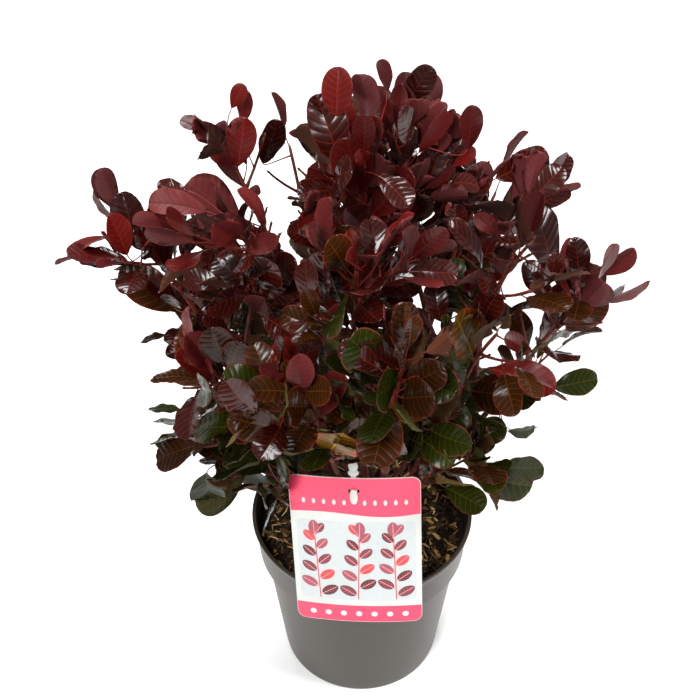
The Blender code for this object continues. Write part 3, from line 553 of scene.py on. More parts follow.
def leaf_solid(root, ahead, blade_ahead, upper, size, petiole_length):
    """A leaf as points and faces: its petiole, and a blade with a ridge under its midrib."""
    across = blade_ahead.cross(upper).normalized()
    length = BLADE_LENGTH * size
    width = BLADE_WIDTH * size
    neck = root + ahead * petiole_length
    middle = neck + blade_ahead * (length * BLADE_WIDEST)
    end = neck + blade_ahead * length - upper * (BLADE_DROOP * length)
    lift = upper * (BLADE_CUP * width)
    ridge = upper * BLADE_THICKNESS
    side = square_to(across, ahead)
    below = square_to(-square_to(upper, ahead), side)
    ring = []
    for centre, radius in ((root, PETIOLE_ROOT_RADIUS), (neck, PETIOLE_RADIUS)):
        ring.append([centre + (side * 0.87 - below * 0.5) * radius,
                     centre - (side * 0.87 + below * 0.5) * radius, centre + below * radius])
    ring.append([middle + across * (width / 2) + lift, middle - across * (width / 2) + lift, middle - ridge])
    half = width / 2 * BLADE_END
    ring.append([end + across * half + lift * 0.5, end - across * half + lift * 0.5, end - ridge * 0.8])
    points = [corner for section in ring for corner in section]
    faces = [(0, 1, 2), (9, 10, 11)]
    for a, b, c, d in quads(len(ring), 3):
        faces += [(a, b, c), (a, c, d)]
    return points, faces


def tree_of(parts):
    """Search tree over the faces of several parts."""
    points = []
    faces = []
    for corners, polygons in parts:
        base = len(points)
        points.extend(corners)
        faces.extend([base + n for n in polygon] for polygon in polygons)
    return BVHTree.FromPolygons(points, faces)


class Spaces:
    """The space of every shoot: all that lies nearer to its leafy stem than to another one."""

    def __init__(self, shoots):
        lines = [line_between(shoot["path"], shoot["leafy"], 1, 4) for shoot in shoots.values()]
        self.starts = as_rows(point for line in lines for point in line[:-1])
        self.steps = as_rows(point for line in lines for point in line[1:]) - self.starts
        self.owners = np.array([number for number, line in enumerate(lines) for _ in line[1:]])
        self.squares = (self.steps ** 2).sum(axis=1)

    def gaps(self, number, points):
        """Distance of each point to this stem, and to the nearest other one."""
        offset = np.array(points)[:, None, :] - self.starts
        share = np.clip((offset * self.steps).sum(axis=2) / self.squares, 0, 1)
        gap = np.linalg.norm(offset - share[:, :, None] * self.steps, axis=2)
        mine = gap[:, self.owners == number].min(axis=1)
        others = gap[:, self.owners != number].min(axis=1)
        return mine, others

    def holds(self, number, points):
        """True if every point is within reach of this stem and clearly nearer to it."""
        mine, others = self.gaps(number, points)
        return bool((mine < SPACE_REACH).all() and (mine + SPACE_MARGIN < others).all())

    def near(self, number, points, loose):
        """True if every point is within reach, and nearer to another stem by no more than a little."""
        mine, others = self.gaps(number, points)
        return bool((mine < SPACE_REACH).all() and (mine < others + loose).all())


def covers_sky(point, wider=1.0):
    """True for a point that lies in front of one of the crown's gaps, or behind it."""
    share = EYE.y / (EYE.y - point.y)
    across = EYE.x + (point.x - EYE.x) * share
    height = EYE.z + (point.z - EYE.z) * share
    return any(math.hypot((across - x) / wide, (height - z) / high) < wider for x, z, wide, high in SKY_GAPS)


def over_card(point):
    """True for a point that is seen over the card."""
    beside_card = abs(point.x - CARD_OFFSET) > CARD_WIDTH / 2 + BESIDE_CARD
    return not beside_card and point.z < CARD_TOP + SIGHT_SLOPE * (-CARD_BACK - point.y)


def hangs_free(points):
    """True for a leaf that hangs neither too low nor over the card or a gap, seen from EYE."""
    neck, middle, end = points[2], points[5], points[8]
    if any(covers_sky(point) for point in points + [(neck + middle) / 2, (middle + end) / 2]):
        return False
    return not any(point.z < POT_HEIGHT + LOWEST_LEAF or over_card(point) for point in points)


def stem_points(shoot):
    """Points of the leafy stem, from the bough's end, or on a low shoot from the trunk, to the tip."""
    if shoot["low"]:
        return line_between(shoot["path"], 0, 1, 6)
    return line_between(shoot["path"], shoot["leafy"], 1, 5)


def lone_leaves(shoot):
    """Every lone leaf as this shoot would carry it, on a stalk from the nearest place of its stem."""
    bare = shoot["leafy"] if shoot["low"] else 0
    stem = line_between(stem_points(shoot), bare + ABOVE_BOUGH, 1, 24)
    found = []
    for neck, end, turn in LONE_LEAVES:
        neck = Vector(neck)
        length = (Vector(end) - neck).length
        place = min(stem, key=lambda point: (point - neck).length)
        petiole = (neck - place).normalized()
        blade = (Vector(end) - neck).normalized()
        upper = Matrix.Rotation(math.radians(turn), 3, blade) @ square_to(EYE - neck, blade)
        size = length / BLADE_LENGTH
        found.append((place - petiole * ROOT_INSET, petiole, blade, upper, size, (neck - place).length))
    return found


def radial_at(outward, ahead, turn):
    """Direction square to a stem, at an angle round it that is counted from the crown's outside."""
    side = square_to(outward + UP * 0.2, ahead)
    return side * math.cos(turn) + ahead.cross(side) * math.sin(turn)


def opened(ahead, radial, angle):
    """Direction that opens from a stem by an angle."""
    return (ahead * math.cos(angle) + radial * math.sin(angle)).normalized()


def span(line, low, high):
    """Length of the stretch of a line between two shares."""
    return sum((b - a).length for a, b in zip(line, line[1:])) * (high - low)


def leaf_directions(ahead, radial, share, attempt, light, draw):
    """Directions of petiole and blade, held up round the shoot like a vase, and the blade's upper side."""
    petiole = opened(ahead, radial, math.radians(60 - 32 * share - 3 * attempt + draw.uniform(-16, 16)))
    blade = (petiole + radial * draw.uniform(-0.35, 0.35) + UP * draw.uniform(-0.25, 0.50)).normalized()
    shake = Vector((draw.uniform(-1, 1), draw.uniform(-1, 1), draw.uniform(-1, 1)))
    upper = square_to(ahead * 0.7 + light * 0.25 + shake * 0.9, blade)
    return petiole, blade, upper


def side_twigs(shoot, count, draw):
    """Curves of the side twigs, dealt round the stem by the golden angle."""
    twigs = []
    turn = draw.uniform(0, 2 * math.pi)
    for k in range(count):
        share = shoot["leafy"] + (1 - shoot["leafy"]) * (0.16 + 0.58 * k / max(1, count - 1))
        start, ahead = point_at(shoot["path"], share)
        turn += GOLDEN_ANGLE
        radial = radial_at(shoot["outward"], ahead, turn)
        heading = opened(ahead, radial, math.radians(draw.uniform(42, 54)))
        length = TWIG_LENGTH * draw.uniform(0.75, 1.0)
        tip = start + (heading + UP * 0.15).normalized() * length
        twigs.append(curve_points(start, heading, tip, (heading + UP * 0.4).normalized()))
    return twigs


def leaf_test(root, ahead, blade_ahead, upper, size, petiole_length):
    """A slightly larger leaf without its root, to find out what the leaf would touch."""
    start = root + ahead * 0.004
    points, faces = leaf_solid(start, ahead, blade_ahead, upper, size * 1.03, petiole_length - 0.004)
    points = [point + upper * 0.0008 if n in (6, 7, 9, 10) else point for n, point in enumerate(points)]
    return points, faces


def light_on(shoot):
    """Direction that the leaves of a shoot turn their upper sides to."""
    return (UP * 0.75 + shoot["outward"] * 0.6).normalized()


def grow_leaves(number, shoot, spaces, limbs):
    """The source's rule with the same draws: the shoot's axes, and the leaves that keep to its space."""
    draw = random.Random(SEED * 1000 + number)
    leafy = shoot["leafy"]
    first = 0 if shoot["low"] else leafy
    stem = stem_points(shoot)
    steps = len(stem) - 1
    stem[0] = stem[0] + (shoot["heading"] if shoot["low"] else (stem[1] - stem[0]).normalized()) * CLEAR
    radii = [bough_radius(shoot, first + (1 - first) * k / steps) for k in range(steps + 1)]
    parts = [tube(stem, radii, STEM_SIDES)]
    axes = [(shoot["path"], leafy, 1)]
    for twig in side_twigs(shoot, 3, draw):
        points = line_between(twig, 0, 1, 2)
        beyond = tube(line_between(twig, 0.05, 1, 2), [0.002] * 3, TWIG_SIDES)
        if not spaces.holds(number, points[1:]) or tree_of([beyond]).overlap(limbs):
            continue
        parts.append(tube(points, [TWIG_ROOT_RADIUS, TWIG_RADIUS, TWIG_TIP_RADIUS], TWIG_SIDES))
        axes.append((twig, 0.3, 1))
    leaves = []
    shapes = []
    for lone in lone_leaves(shoot):
        leaf = leaf_solid(*lone)
        touched = tree_of([leaf_test(*lone)])
        clear = not touched.overlap(limbs) and not touched.overlap(tree_of(parts + shapes))
        if clear and spaces.holds(number, leaf[0][3:]):
            leaves.append((*lone, 0.5, 0))
            shapes.append(leaf)
    taken = tree_of(parts + shapes)
    for axis, (line, low, high) in enumerate(axes):
        count = max(2, round(span(line, low, high) / LEAF_GAP))
        turn = draw.uniform(0, 2 * math.pi)
        for k in range(count + 1):
            share = (k + 0.35) / (count + 0.35)
            turn += GOLDEN_ANGLE
            place, along = point_at(line, low + (high - low) * share)
            for attempt in range(LEAF_TRIES):
                swing = turn + draw.uniform(-0.4, 0.4) * (1 + 0.5 * attempt)
                radial = radial_at(shoot["outward"], along, swing)
                petiole, blade, upper = leaf_directions(along, radial, share, attempt, light_on(shoot), draw)
                size = draw.uniform(0.74, 1.10) * (1.0 - 0.18 * share ** 3) * (1.0 - 0.012 * attempt)
                length = PETIOLE * draw.uniform(0.75, 1.35) * (1.0 - 0.03 * attempt)
                grown = (place - petiole * ROOT_INSET, petiole, blade, upper, size, length)
                leaf = leaf_solid(*grown)
                if not spaces.holds(number, leaf[0][3:]) or not hangs_free(leaf[0][3:]):
                    continue
                touched = tree_of([leaf_test(*grown)])
                if touched.overlap(limbs) or touched.overlap(taken):
                    continue
                leaves.append((*grown, share, axis))
                shapes.append(leaf)
                taken = tree_of(parts + shapes)
                break
    return axes, leaves, parts + shapes


class Crown:
    """Everything that has grown so far, shoot by shoot, to find out what a new leaf would touch."""

    def __init__(self):
        self.shapes = {}
        self.trees = {}

    def add(self, number, shapes):
        self.shapes.setdefault(number, []).extend(shapes)
        self.trees[number] = tree_of(self.shapes[number])

    def touches(self, shape):
        found = tree_of([shape])
        return any(tree.overlap(found) for tree in self.trees.values())


def twiglets(axes, outward, draw):
    """Short shoots that the stem and the side twigs put out between their leaves."""
    grown = []
    for line, low, high in axes:
        count = max(1, round(span(line, low, high) / TWIGLET_GAP))
        turn = draw.uniform(0, 2 * math.pi)
        for k in range(count):
            start, ahead = point_at(line, low + (high - low) * (k + 0.3) / count)
            turn += GOLDEN_ANGLE
            radial = radial_at(outward, ahead, turn)
            heading = opened(ahead, radial, math.radians(draw.uniform(36, 52)))
            tip = start + (heading + UP * 0.25).normalized() * (TWIGLET_LENGTH * draw.uniform(0.7, 1.2))
            grown.append((curve_points(start, heading, tip, (heading + UP * 0.6).normalized()), 0.35, 1))
    return grown


def stands_clear(points):
    """True for a twig that is seen neither over the card nor over a gap of the crown."""
    return not any(over_card(point) or covers_sky(point, FINE_SKY) for point in points)


def grow_finer(number, shoot, axes, spaces, crown):
    """Finer twigs and younger leaves, by the same rule, between the leaves of the source."""
    draw = random.Random(SEED * 1000 + 500 + number)
    extra = [axis for axis in twiglets(axes, shoot["outward"], draw)
             if spaces.near(number, line_between(axis[0], 0, 1, 2)[1:], FINE_REACH)
             and stands_clear(axis[0][3:])]
    leaves = []
    everything = list(axes) + [(shoot["path"], 0.14, shoot["leafy"])] + extra
    for axis, (line, low, high) in enumerate(everything):
        small = axis >= len(axes)
        count = max(2, round(span(line, low, high) / FINE_GAP))
        turn = draw.uniform(0, 2 * math.pi)
        stations = [((k + 0.7) / (count + 0.7), 0) for k in range(count)]
        stations += [(0.97 + 0.01 * k, 1) for k in range(TIP_LEAVES)]
        for share, young in stations:
            turn += GOLDEN_ANGLE
            place, along = point_at(line, low + (high - low) * share)
            lean_share = 1.3 if young else share
            for attempt in range(FINE_TRIES):
                swing = turn + draw.uniform(-0.5, 0.5) * (1 + 0.6 * attempt)
                radial = radial_at(shoot["outward"], along, swing)
                directions = leaf_directions(along, radial, lean_share, attempt, light_on(shoot), draw)
                size = draw.uniform(0.62, 0.98) * (0.86 if small else 1.0) * (1 - 0.015 * attempt)
                if young:
                    size = draw.uniform(0.30, 0.62)
                length = PETIOLE * draw.uniform(0.6, 1.2) * (0.5 + 0.5 * size)
                grown = (place, *directions, size, length)
                leaf = leaf_solid(*grown)
                if not spaces.near(number, leaf[0][3:], FINE_REACH) or not hangs_free(leaf[0][3:]):
                    continue
                if any(covers_sky(point, FINE_SKY) for point in leaf[0][3:]):
                    continue
                if crown.touches(leaf_test(*grown)):
                    continue
                leaves.append((*grown, share, axis))
                crown.add(number, [leaf])
                break
    used = {leaf[7] for leaf in leaves}
    kept = [axis for k, axis in enumerate(everything) if k > len(axes) and k in used]
    return kept, leaves


def place_object(name, data):
    """A new object in the scene."""
    thing = bpy.data.objects.new(name, data)
    bpy.context.scene.collection.objects.link(thing)
    return thing


def as_rows(points):
    return np.array([tuple(point) for point in points])


class Pile:
    """Many closed shapes gathered into one mesh, each face with the name of its finish."""

    def __init__(self):
        self.points = []
        self.faces = []
        self.slots = []
        self.finishes = []
        self.count = 0

    def slot(self, finish):
        if finish not in self.finishes:
            self.finishes.append(finish)
        return self.finishes.index(finish)

    def add(self, points, faces, slots):
        """Points as rows of three, faces as rows of four (the last is -1 in a triangle), a slot a face."""
        self.points.append(points)
        self.faces.append(np.where(faces < 0, -1, faces + self.count))
        self.slots.append(slots)
        self.count += len(points)

    def add_plain(self, points, faces, finish):
        """The same for a shape that has one finish all over."""
        self.add(points, faces, np.full(len(faces), self.slot(finish)))

    def build(self, name):
        points = np.concatenate(self.points)
        faces = np.concatenate(self.faces)
        mesh = bpy.data.meshes.new(name)
        corners = faces[faces >= 0]
        sizes = (faces >= 0).sum(axis=1)
        starts = np.concatenate([[0], np.cumsum(sizes)[:-1]])
        mesh.vertices.add(len(points))
        mesh.vertices.foreach_set("co", points.astype(np.float32).ravel())
        mesh.loops.add(len(corners))
        mesh.loops.foreach_set("vertex_index", corners.astype(np.int32))
        mesh.polygons.add(len(faces))
        mesh.polygons.foreach_set("loop_start", starts.astype(np.int32))
        mesh.polygons.foreach_set("material_index", np.concatenate(self.slots).astype(np.int32))
        mesh.polygons.foreach_set("use_smooth", np.ones(len(faces), bool))
        mesh.update(calc_edges=True)
        for finish in self.finishes:
            mesh.materials.append(FINISHES[finish])
        return place_object(name, mesh)


def settle(piece, slot, *nodes):
    """A finished piece rides on the plant's one body and stands for its nodes; its slot is not used."""
    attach(piece, "root")
    if nodes:
        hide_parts(*nodes)
    return piece


def closed(rings, first, last):
    """Points and faces of rings of points that are joined up, and closed about two end points."""
    sides = len(rings[0])
    corners = [corner for ring in rings for corner in ring] + [first, last]
    faces = quads(len(rings), sides)
    base = len(rings) * sides
    top = base - sides
    for n in range(sides):
        m = (n + 1) % sides
        faces += [(base, m, n, -1), (base + 1, top + n, top + m, -1)]
    return as_rows(corners), np.array(faces)


def limb(points, radii, sides, relief=0.0):
    """A round limb along a line of points, closed at both ends, with the bark's relief."""
    rings = []
    for point, radius, (side, other) in zip(points, radii, frames_along(points)):
        ring = []
        for turn in turns(sides):
            out = side * math.cos(turn) + other * math.sin(turn)
            rough = 0.0
            if relief:
                ridge = noise.noise(Vector((out.x * 2.2, out.y * 2.2, point.z * 60)) + out * 1.3)
                grain = noise.noise((point + out * radius) * 420)
                rough = relief * (0.7 * ridge + 0.5 * grain)
            ring.append(point + out * (radius * (1 + rough)))
        rings.append(ring)
    return closed(rings, points[0], points[-1])


def smooth_line(points, start, end, steps):
    """Evenly stepped points of a line, with its corners rounded."""
    rough = line_between(points, start, end, steps)
    inner = [(a + b * 2 + c) / 4 for a, b, c in zip(rough, rough[1:], rough[2:])]
    return [rough[0]] + inner + [rough[-1]]


def half_width(along, wide, base_round, tip_round):
    """Half the blade's width at a share of its length, rounded at both ends."""
    widest = base_round / (base_round + tip_round)
    most = widest ** base_round * (1 - widest) ** tip_round
    return 0.5 * wide * along ** base_round * (1 - along) ** tip_round / most


BLADE, OUTER, VEIN, EDGE, UNDER, UNDER_VEIN = range(6)


def leaf_form(draw, wide, fold, relief, wave, bend, twist):
    """One leaf, one unit long, from the origin to +Y with its upper side at +Z.

    Its rows of points run out along the side veins, with one row between two veins for the raised
    panel, so veins and panels are shape, and every strip between two rows is one finish.
    """
    base_round = draw.uniform(0.72, 0.95)
    tip_round = draw.uniform(0.44, 0.56)
    ripples = draw.uniform(1.6, 3.2)
    phases = (draw.uniform(0, 6.3), draw.uniform(0, 6.3))
    marks = [(k + 0.55) / (VEINS + 0.35) for k in range(VEINS)]
    rows = [marks[0] * 0.5]
    for mark, after in zip(marks, marks[1:] + [1.0]):
        rows += [mark - VEIN_HALF, mark + VEIN_HALF, (mark + after) / 2]
    rows = np.array(rows)[:, None]
    panel = np.array([True] + [False, False, True] * VEINS)
    raised = panel[:, None]
    edge_place = rows + 0.8 * rows * (1 - rows)
    half = half_width(edge_place, wide, base_round, tip_round)
    rib = MIDRIB_HALF * (1 - 0.6 * rows)

    def side_points(shares, sign, phase):
        """Points of one half of the blade: across, along, height without relief, and relief."""
        shares = np.array(shares)[None, :]
        across = rib + (half - rib) * shares
        along = rows + (edge_place - rows) * shares ** 1.15
        ripple = wave * np.sin(2 * math.pi * ripples * along + phase) * shares ** 2
        bulge = np.sin(math.pi * (0.06 + 0.9 * shares)) ** 0.6
        uneven = np.array([[draw.uniform(0.25, 1.55) for _ in range(shares.shape[1])] for _ in rows])
        crown = relief * np.where(raised, bulge * uneven, -0.12)
        crown = np.where(shares < 0.01, -0.30 * relief, crown)
        return sign * across, along, fold * across + ripple, crown

    def whole_rows(shares):
        """The same from margin to margin."""
        halves = side_points(shares[::-1], -1, phases[0]), side_points(shares, 1, phases[1])
        return [np.concatenate(pair, axis=1) for pair in zip(*halves)]

    across, along, height, crown = whole_rows(COLUMNS)
    top_points = np.stack([across, along, height + crown], axis=2)
    across, along, height, crown = whole_rows((0.0, 0.5))
    depth = LEAF_THICKNESS * np.array([1.0, 2.1, 2.1, 1.0])[None, :] + np.where(raised, 0, 0.004)
    under_points = np.stack([across, along, height + 0.5 * crown - depth], axis=2)
    ends = np.array([[0, 0, -0.3 * LEAF_THICKNESS], [0, 1, -0.3 * LEAF_THICKNESS]])
    count = len(rows)
    columns = top_points.shape[1]
    points = np.concatenate([top_points.reshape(-1, 3), under_points.reshape(-1, 3), ends])
    over = np.arange(count * columns).reshape(count, columns)
    below = np.arange(count * 4).reshape(count, 4) + count * columns
    below = np.concatenate([over[:, :1], below, over[:, -1:]], axis=1)
    base = len(points) - 2
    tip = len(points) - 1
    faces = []
    slots = []
    last = columns - 2
    strips = [EDGE, OUTER, BLADE, BLADE, VEIN, BLADE, BLADE, OUTER, EDGE]
    for k in range(count - 1):
        on_vein = not panel[k] and not panel[k + 1]
        for c in range(columns - 1):
            faces.append((over[k, c], over[k, c + 1], over[k + 1, c + 1], over[k + 1, c]))
            slots.append(VEIN if on_vein and 0 < c < last else strips[c])
        for c in range(5):
            faces.append((below[k, c], below[k + 1, c], below[k + 1, c + 1], below[k, c + 1]))
            slots.append(UNDER_VEIN if on_vein or c == 2 else UNDER)
    for c in range(columns - 1):
        faces.append((base, over[0, c + 1], over[0, c], -1))
        faces.append((over[-1, c], over[-1, c + 1], tip, -1))
        slots += [strips[c], strips[c]]
    for c in range(5):
        faces.append((base, below[0, c], below[0, c + 1], -1))
        faces.append((below[-1, c + 1], below[-1, c], tip, -1))
        slots += [UNDER_VEIN if c == 2 else UNDER] * 2
    return curl(points, bend, twist), np.array(faces), np.array(slots)


def curl(points, bend, twist):
    """Twist a leaf about its length, and bend it back along an arc."""
    across, along, height = points.T
    turn = twist * along
    level = across * np.cos(turn) - height * np.sin(turn)
    height = across * np.sin(turn) + height * np.cos(turn)
    lean = bend * along
    forward = np.sin(lean) / bend + height * np.sin(lean)
    up = height * np.cos(lean) - (1 - np.cos(lean)) / bend
    return np.stack([level, forward, up], axis=1)


def tone(*colour):
    """Linear colour of an sRGB one given from 0 to 255."""
    return tuple(((c / 255 + 0.055) / 1.055) ** 2.4 if c > 10 else c / 255 / 12.92 for c in colour)


def plain(name, colour, roughness, specular=0.5, coat=0.0):
    """A finish of one colour, for the small faces of leaves and chips that are dealt out by place."""
    result = bpy.data.materials.new(name)
    result.use_nodes = True
    shader = result.node_tree.nodes["Principled BSDF"]
    shader.inputs["Base Color"].default_value = (*colour, 1.0)
    shader.inputs["Roughness"].default_value = roughness
    shader.inputs["Specular IOR Level"].default_value = specular
    shader.inputs["Coat Weight"].default_value = coat
    shader.inputs["Coat Roughness"].default_value = 0.18
    return result


def patterned(name, ramp, grain, stretch, smooth, rough, bump_grain, bump_height, specular=0.5):
    """A finish mottled by noise, with a fine bump; each row of the ramp is a place and a colour."""
    result = bpy.data.materials.new(name)
    result.use_nodes = True
    nodes = result.node_tree.nodes
    links = result.node_tree.links
    shader = nodes["Principled BSDF"]
    shader.inputs["Specular IOR Level"].default_value = specular

    def add(kind, source, socket, **values):
        """A node that is fed by an output of another one."""
        added = nodes.new("ShaderNode" + kind)
        for key, value in values.items():
            added.inputs[key.replace("_", " ")].default_value = value
        links.new(source, added.inputs[socket])
        return added

    place = nodes.new("ShaderNodeTexCoord").outputs["Object"]
    stretched = add("Mapping", place, "Vector", Scale=(1.0, 1.0, stretch)).outputs["Vector"]
    mottle = add("TexNoise", stretched, "Vector", Scale=grain, Detail=6.0).outputs["Fac"]
    colours = add("ValToRGB", mottle, "Fac")
    band = colours.color_ramp.elements
    for element, (position, *colour) in ((band[0], ramp[0]), (band[1], ramp[-1])):
        element.position = position
        element.color = (*tone(*colour), 1.0)
    for position, *colour in ramp[1:-1]:
        band.new(position).color = (*tone(*colour), 1.0)
    spread = add("MapRange", mottle, "Value", To_Min=smooth, To_Max=rough)
    fine = add("TexNoise", stretched, "Vector", Scale=bump_grain, Detail=8.0)
    bump = add("Bump", fine.outputs["Fac"], "Height", Strength=0.6, Distance=bump_height)
    links.new(colours.outputs["Color"], shader.inputs["Base Color"])
    links.new(spread.outputs["Result"], shader.inputs["Roughness"])
    links.new(bump.outputs["Normal"], shader.inputs["Normal"])
    return result


# Colours of each kind of leaf: blade, outer blade, veins, margin, underside and its veins
LEAF_TONES = {
    "satin": ((80, 12, 9), (85, 13, 10), (108, 27, 20), (94, 22, 15), (92, 35, 35), (104, 41, 34)),
    "plum": ((80, 20, 20), (84, 22, 21), (60, 12, 12), (94, 29, 25), (90, 34, 36), (68, 22, 22)),
    "glossy": ((46, 10, 6), (50, 10, 6), (90, 26, 14), (62, 14, 9), (80, 46, 33), (102, 50, 32)),
    "bronze": ((46, 23, 6), (54, 22, 6), (86, 44, 12), (92, 24, 12), (84, 58, 34), (106, 64, 30)),
    "green": ((31, 38, 4), (36, 38, 5), (66, 60, 12), (92, 30, 13), (68, 66, 27), (96, 80, 30)),
    # young red leaves: their own vivid red, brightened as painted glow of light shining through the thin
    # blade
    "young_red_glow": ((114, 7, 6), (119, 8, 7), (138, 24, 14), (124, 18, 11), (100, 26, 19), (122, 36, 22)),
    "turning": ((84, 56, 9), (112, 44, 11), (150, 116, 30), (118, 36, 14), (104, 78, 34), (128, 100, 50)),
}
# Roughness, coat and specular level of each kind of leaf
LEAF_GLOSS = {
    "satin": (0.34, 0.0, 0.24), "plum": (0.48, 0.0, 0.16), "glossy": (0.20, 0.08, 0.38),
    "bronze": (0.23, 0.02, 0.24), "green": (0.26, 0.0, 0.20), "young_red_glow": (0.40, 0.0, 0.22),
    "turning": (0.34, 0.0, 0.26),
}
# The same of the margins and undersides of all of them
DULL_GLOSS = (0.62, 0.0, 0.20)
LEAF_SHADES = (0.58, 0.90, 1.20)
PART_NAMES = ("blade", "outer", "vein", "edge", "under", "under_vein")

# Shape of each kind of leaf: width, fold, relief, margin wave, bend and twist, each from least to most
LEAF_SHAPES = {
    "satin": ((0.50, 0.64), (0.05, 0.50), (0.006, 0.015), (0.004, 0.016), (0.05, 0.60), (-0.4, 0.4)),
    "plum": ((0.50, 0.62), (0.08, 0.60), (0.005, 0.011), (0.004, 0.016), (0.05, 0.70), (-0.4, 0.4)),
    "glossy": ((0.52, 0.66), (-0.05, 0.40), (0.014, 0.026), (0.010, 0.026), (0.15, 0.95), (-0.4, 0.4)),
    "bronze": ((0.52, 0.68), (-0.05, 0.30), (0.013, 0.023), (0.012, 0.030), (0.10, 0.80), (-0.5, 0.5)),
    "green": ((0.54, 0.70), (-0.05, 0.30), (0.012, 0.022), (0.012, 0.030), (0.10, 0.70), (-0.5, 0.5)),
    "young_red_glow": ((0.48, 0.60), (0.05, 0.40), (0.003, 0.008), (0.004, 0.014), (0.05, 0.60), (-0.4, 0.4)),
    "turning": ((0.54, 0.70), (-0.05, 0.30), (0.008, 0.016), (0.012, 0.030), (0.10, 0.70), (-0.5, 0.5)),
}

# Finishes of one colour: red, green and blue from 0 to 255, roughness and specular level
PLAIN_FINISHES = {
    "petiole_red": (106, 27, 20, 0.45, 0.3), "petiole_brown": (92, 42, 22, 0.45, 0.3),
    "petiole_green": (98, 78, 32, 0.45, 0.3), "bud": (84, 34, 22, 0.45, 0.5),
    "chip_dark": (27, 19, 12, 0.85, 0.25), "chip_brown": (60, 42, 24, 0.85, 0.25),
    "chip_red": (88, 52, 29, 0.85, 0.25), "chip_mid": (104, 78, 42, 0.85, 0.25),
    "chip_tan": (164, 128, 74, 0.85, 0.25), "chip_pale": (204, 172, 116, 0.85, 0.25),
}
# Mottled finishes: the ramp's colours from dark to light, grain, stretch, least and most roughness,
# grain and height of the bump, and specular level
PATTERNS = {
    "bark": (((0.30, 36, 16, 11), (0.50, 66, 31, 20), (0.72, 98, 58, 38)),
             150.0, 0.28, 0.62, 0.88, 900.0, 0.0006, 0.2),
    "young_bark": (((0.30, 66, 17, 11), (0.52, 98, 29, 18), (0.75, 122, 48, 28)),
                   210.0, 0.35, 0.40, 0.62, 1400.0, 0.0003, 0.3),
    "pot_plastic": (((0.25, 46, 38, 29), (0.55, 51, 43, 33), (0.85, 57, 48, 37)),
                    16.0, 0.5, 0.34, 0.46, 1600.0, 0.00006, 0.6),
    # the pot's inside is the same plastic as its outside; its darker colour is painted shade
    "pot_inside_painted_shade": (((0.30, 20, 18, 17), (0.70, 34, 31, 29)), 30.0, 1.0, 0.45, 0.65, 1600.0, 0.00006),
    "potting_mix": (((0.35, 13, 9, 6), (0.55, 26, 18, 11), (0.75, 48, 34, 20)),
                    260.0, 1.0, 0.85, 1.0, 700.0, 0.0015, 0.2),
    "card_white": (((0.3, 196, 197, 192), (0.7, 204, 205, 200)), 60.0, 1.0, 0.30, 0.40, 1200.0, 0.00002),
    "clip_plastic": (((0.3, 214, 214, 208), (0.7, 232, 232, 227)), 90.0, 1.0, 0.30, 0.42, 900.0, 0.00003),
}
# Colours of the card's inks
INKS = {
    "ink_pink": (236, 62, 96), "ink_pale_pink": (222, 150, 164), "ink_plum": (104, 48, 58),
    "ink_maroon": (74, 26, 32), "ink_red": (214, 66, 60), "ink_rose": (150, 76, 88),
    "ink_sky": (190, 196, 196), "ink_white": (204, 205, 200),
}
# Shoots with some young red leaves, whose vivid red is their own colour made brighter as painted glow of
# light shining through them
YOUNG_RED_GLOW_SHOOTS = ("top_right", "right_back", "top_back", "back_right")

FINISHES = {}


def make_finishes():
    """Every finish of the plant, its pot and its card, by name."""
    for kind, tones in LEAF_TONES.items():
        for shade, strength in enumerate(LEAF_SHADES):
            for part, colour in zip(PART_NAMES, tones):
                dull = part.startswith("under") or part == "edge"
                rough, coat, specular = DULL_GLOSS if dull else LEAF_GLOSS[kind]
                name = f"{kind}_{shade}_{part}"
                linear = [min(1.0, c * strength) for c in tone(*colour)]
                FINISHES[name] = plain(name, linear, rough, specular, coat)
    for name, (red, green, blue, rough, specular) in PLAIN_FINISHES.items():
        FINISHES[name] = plain(name, tone(red, green, blue), rough, specular)
    for name, values in PATTERNS.items():
        FINISHES[name] = patterned(name, *values)
    for name, colour in INKS.items():
        ramp = ((0.3, *(0.97 * c for c in colour)), (0.7, *colour))
        FINISHES[name] = patterned(name, ramp, 220.0, 1.0, 0.26, 0.36, 1200.0, 0.00001)
    clear = FINISHES["clip_plastic"].node_tree.nodes["Principled BSDF"]
    clear.inputs["Transmission Weight"].default_value = 0.25


def leaf_forms():
    """Several leaves of each kind, each a little different."""
    forms = {}
    draw = random.Random(SEED)
    for kind, ranges in LEAF_SHAPES.items():
        forms[kind] = [leaf_form(draw, *(draw.uniform(low, high) for low, high in ranges))
                       for _ in range(FORMS_PER_KIND)]
    return forms


def smooth_step(value, low, high):
    share = min(1.0, max(0.0, (value - low) / (high - low)))
    return share * share * (3 - 2 * share)


def spray_kinds(shoot, neck, share, mood, draw):
    """The kind of a leaf: green low down and inside, glossy dark in the middle, satin red at the tips."""
    rise = neck.z - POT_HEIGHT + 0.75 * min(0, neck.y)
    out = math.hypot(neck.x, neck.y)
    green = 1 - smooth_step(rise + 0.40 * max(0, out - 0.12) + mood * 0.04, 0.13, 0.26)
    if draw.random() < green:
        if draw.random() < 0.05:
            return "turning"
        return "green" if draw.random() < 0.70 - 2.2 * max(0, out - 0.10) else "bronze"
    if draw.random() < 0.50 * (1 - smooth_step(rise, 0.18, 0.32)):
        return "bronze"
    sunny = smooth_step(share + 0.35 * mood + 1.6 * (rise - 0.30), 0.35, 1.0)
    if draw.random() < sunny:
        # some young red leaves, their vivid red partly painted glow of light shining through them
        if shoot["name"] in YOUNG_RED_GLOW_SHOOTS and draw.random() < 0.30:
            return "young_red_glow"
        return "satin" if draw.random() < 0.62 else "plum"
    return "glossy" if draw.random() < 0.90 else "satin"


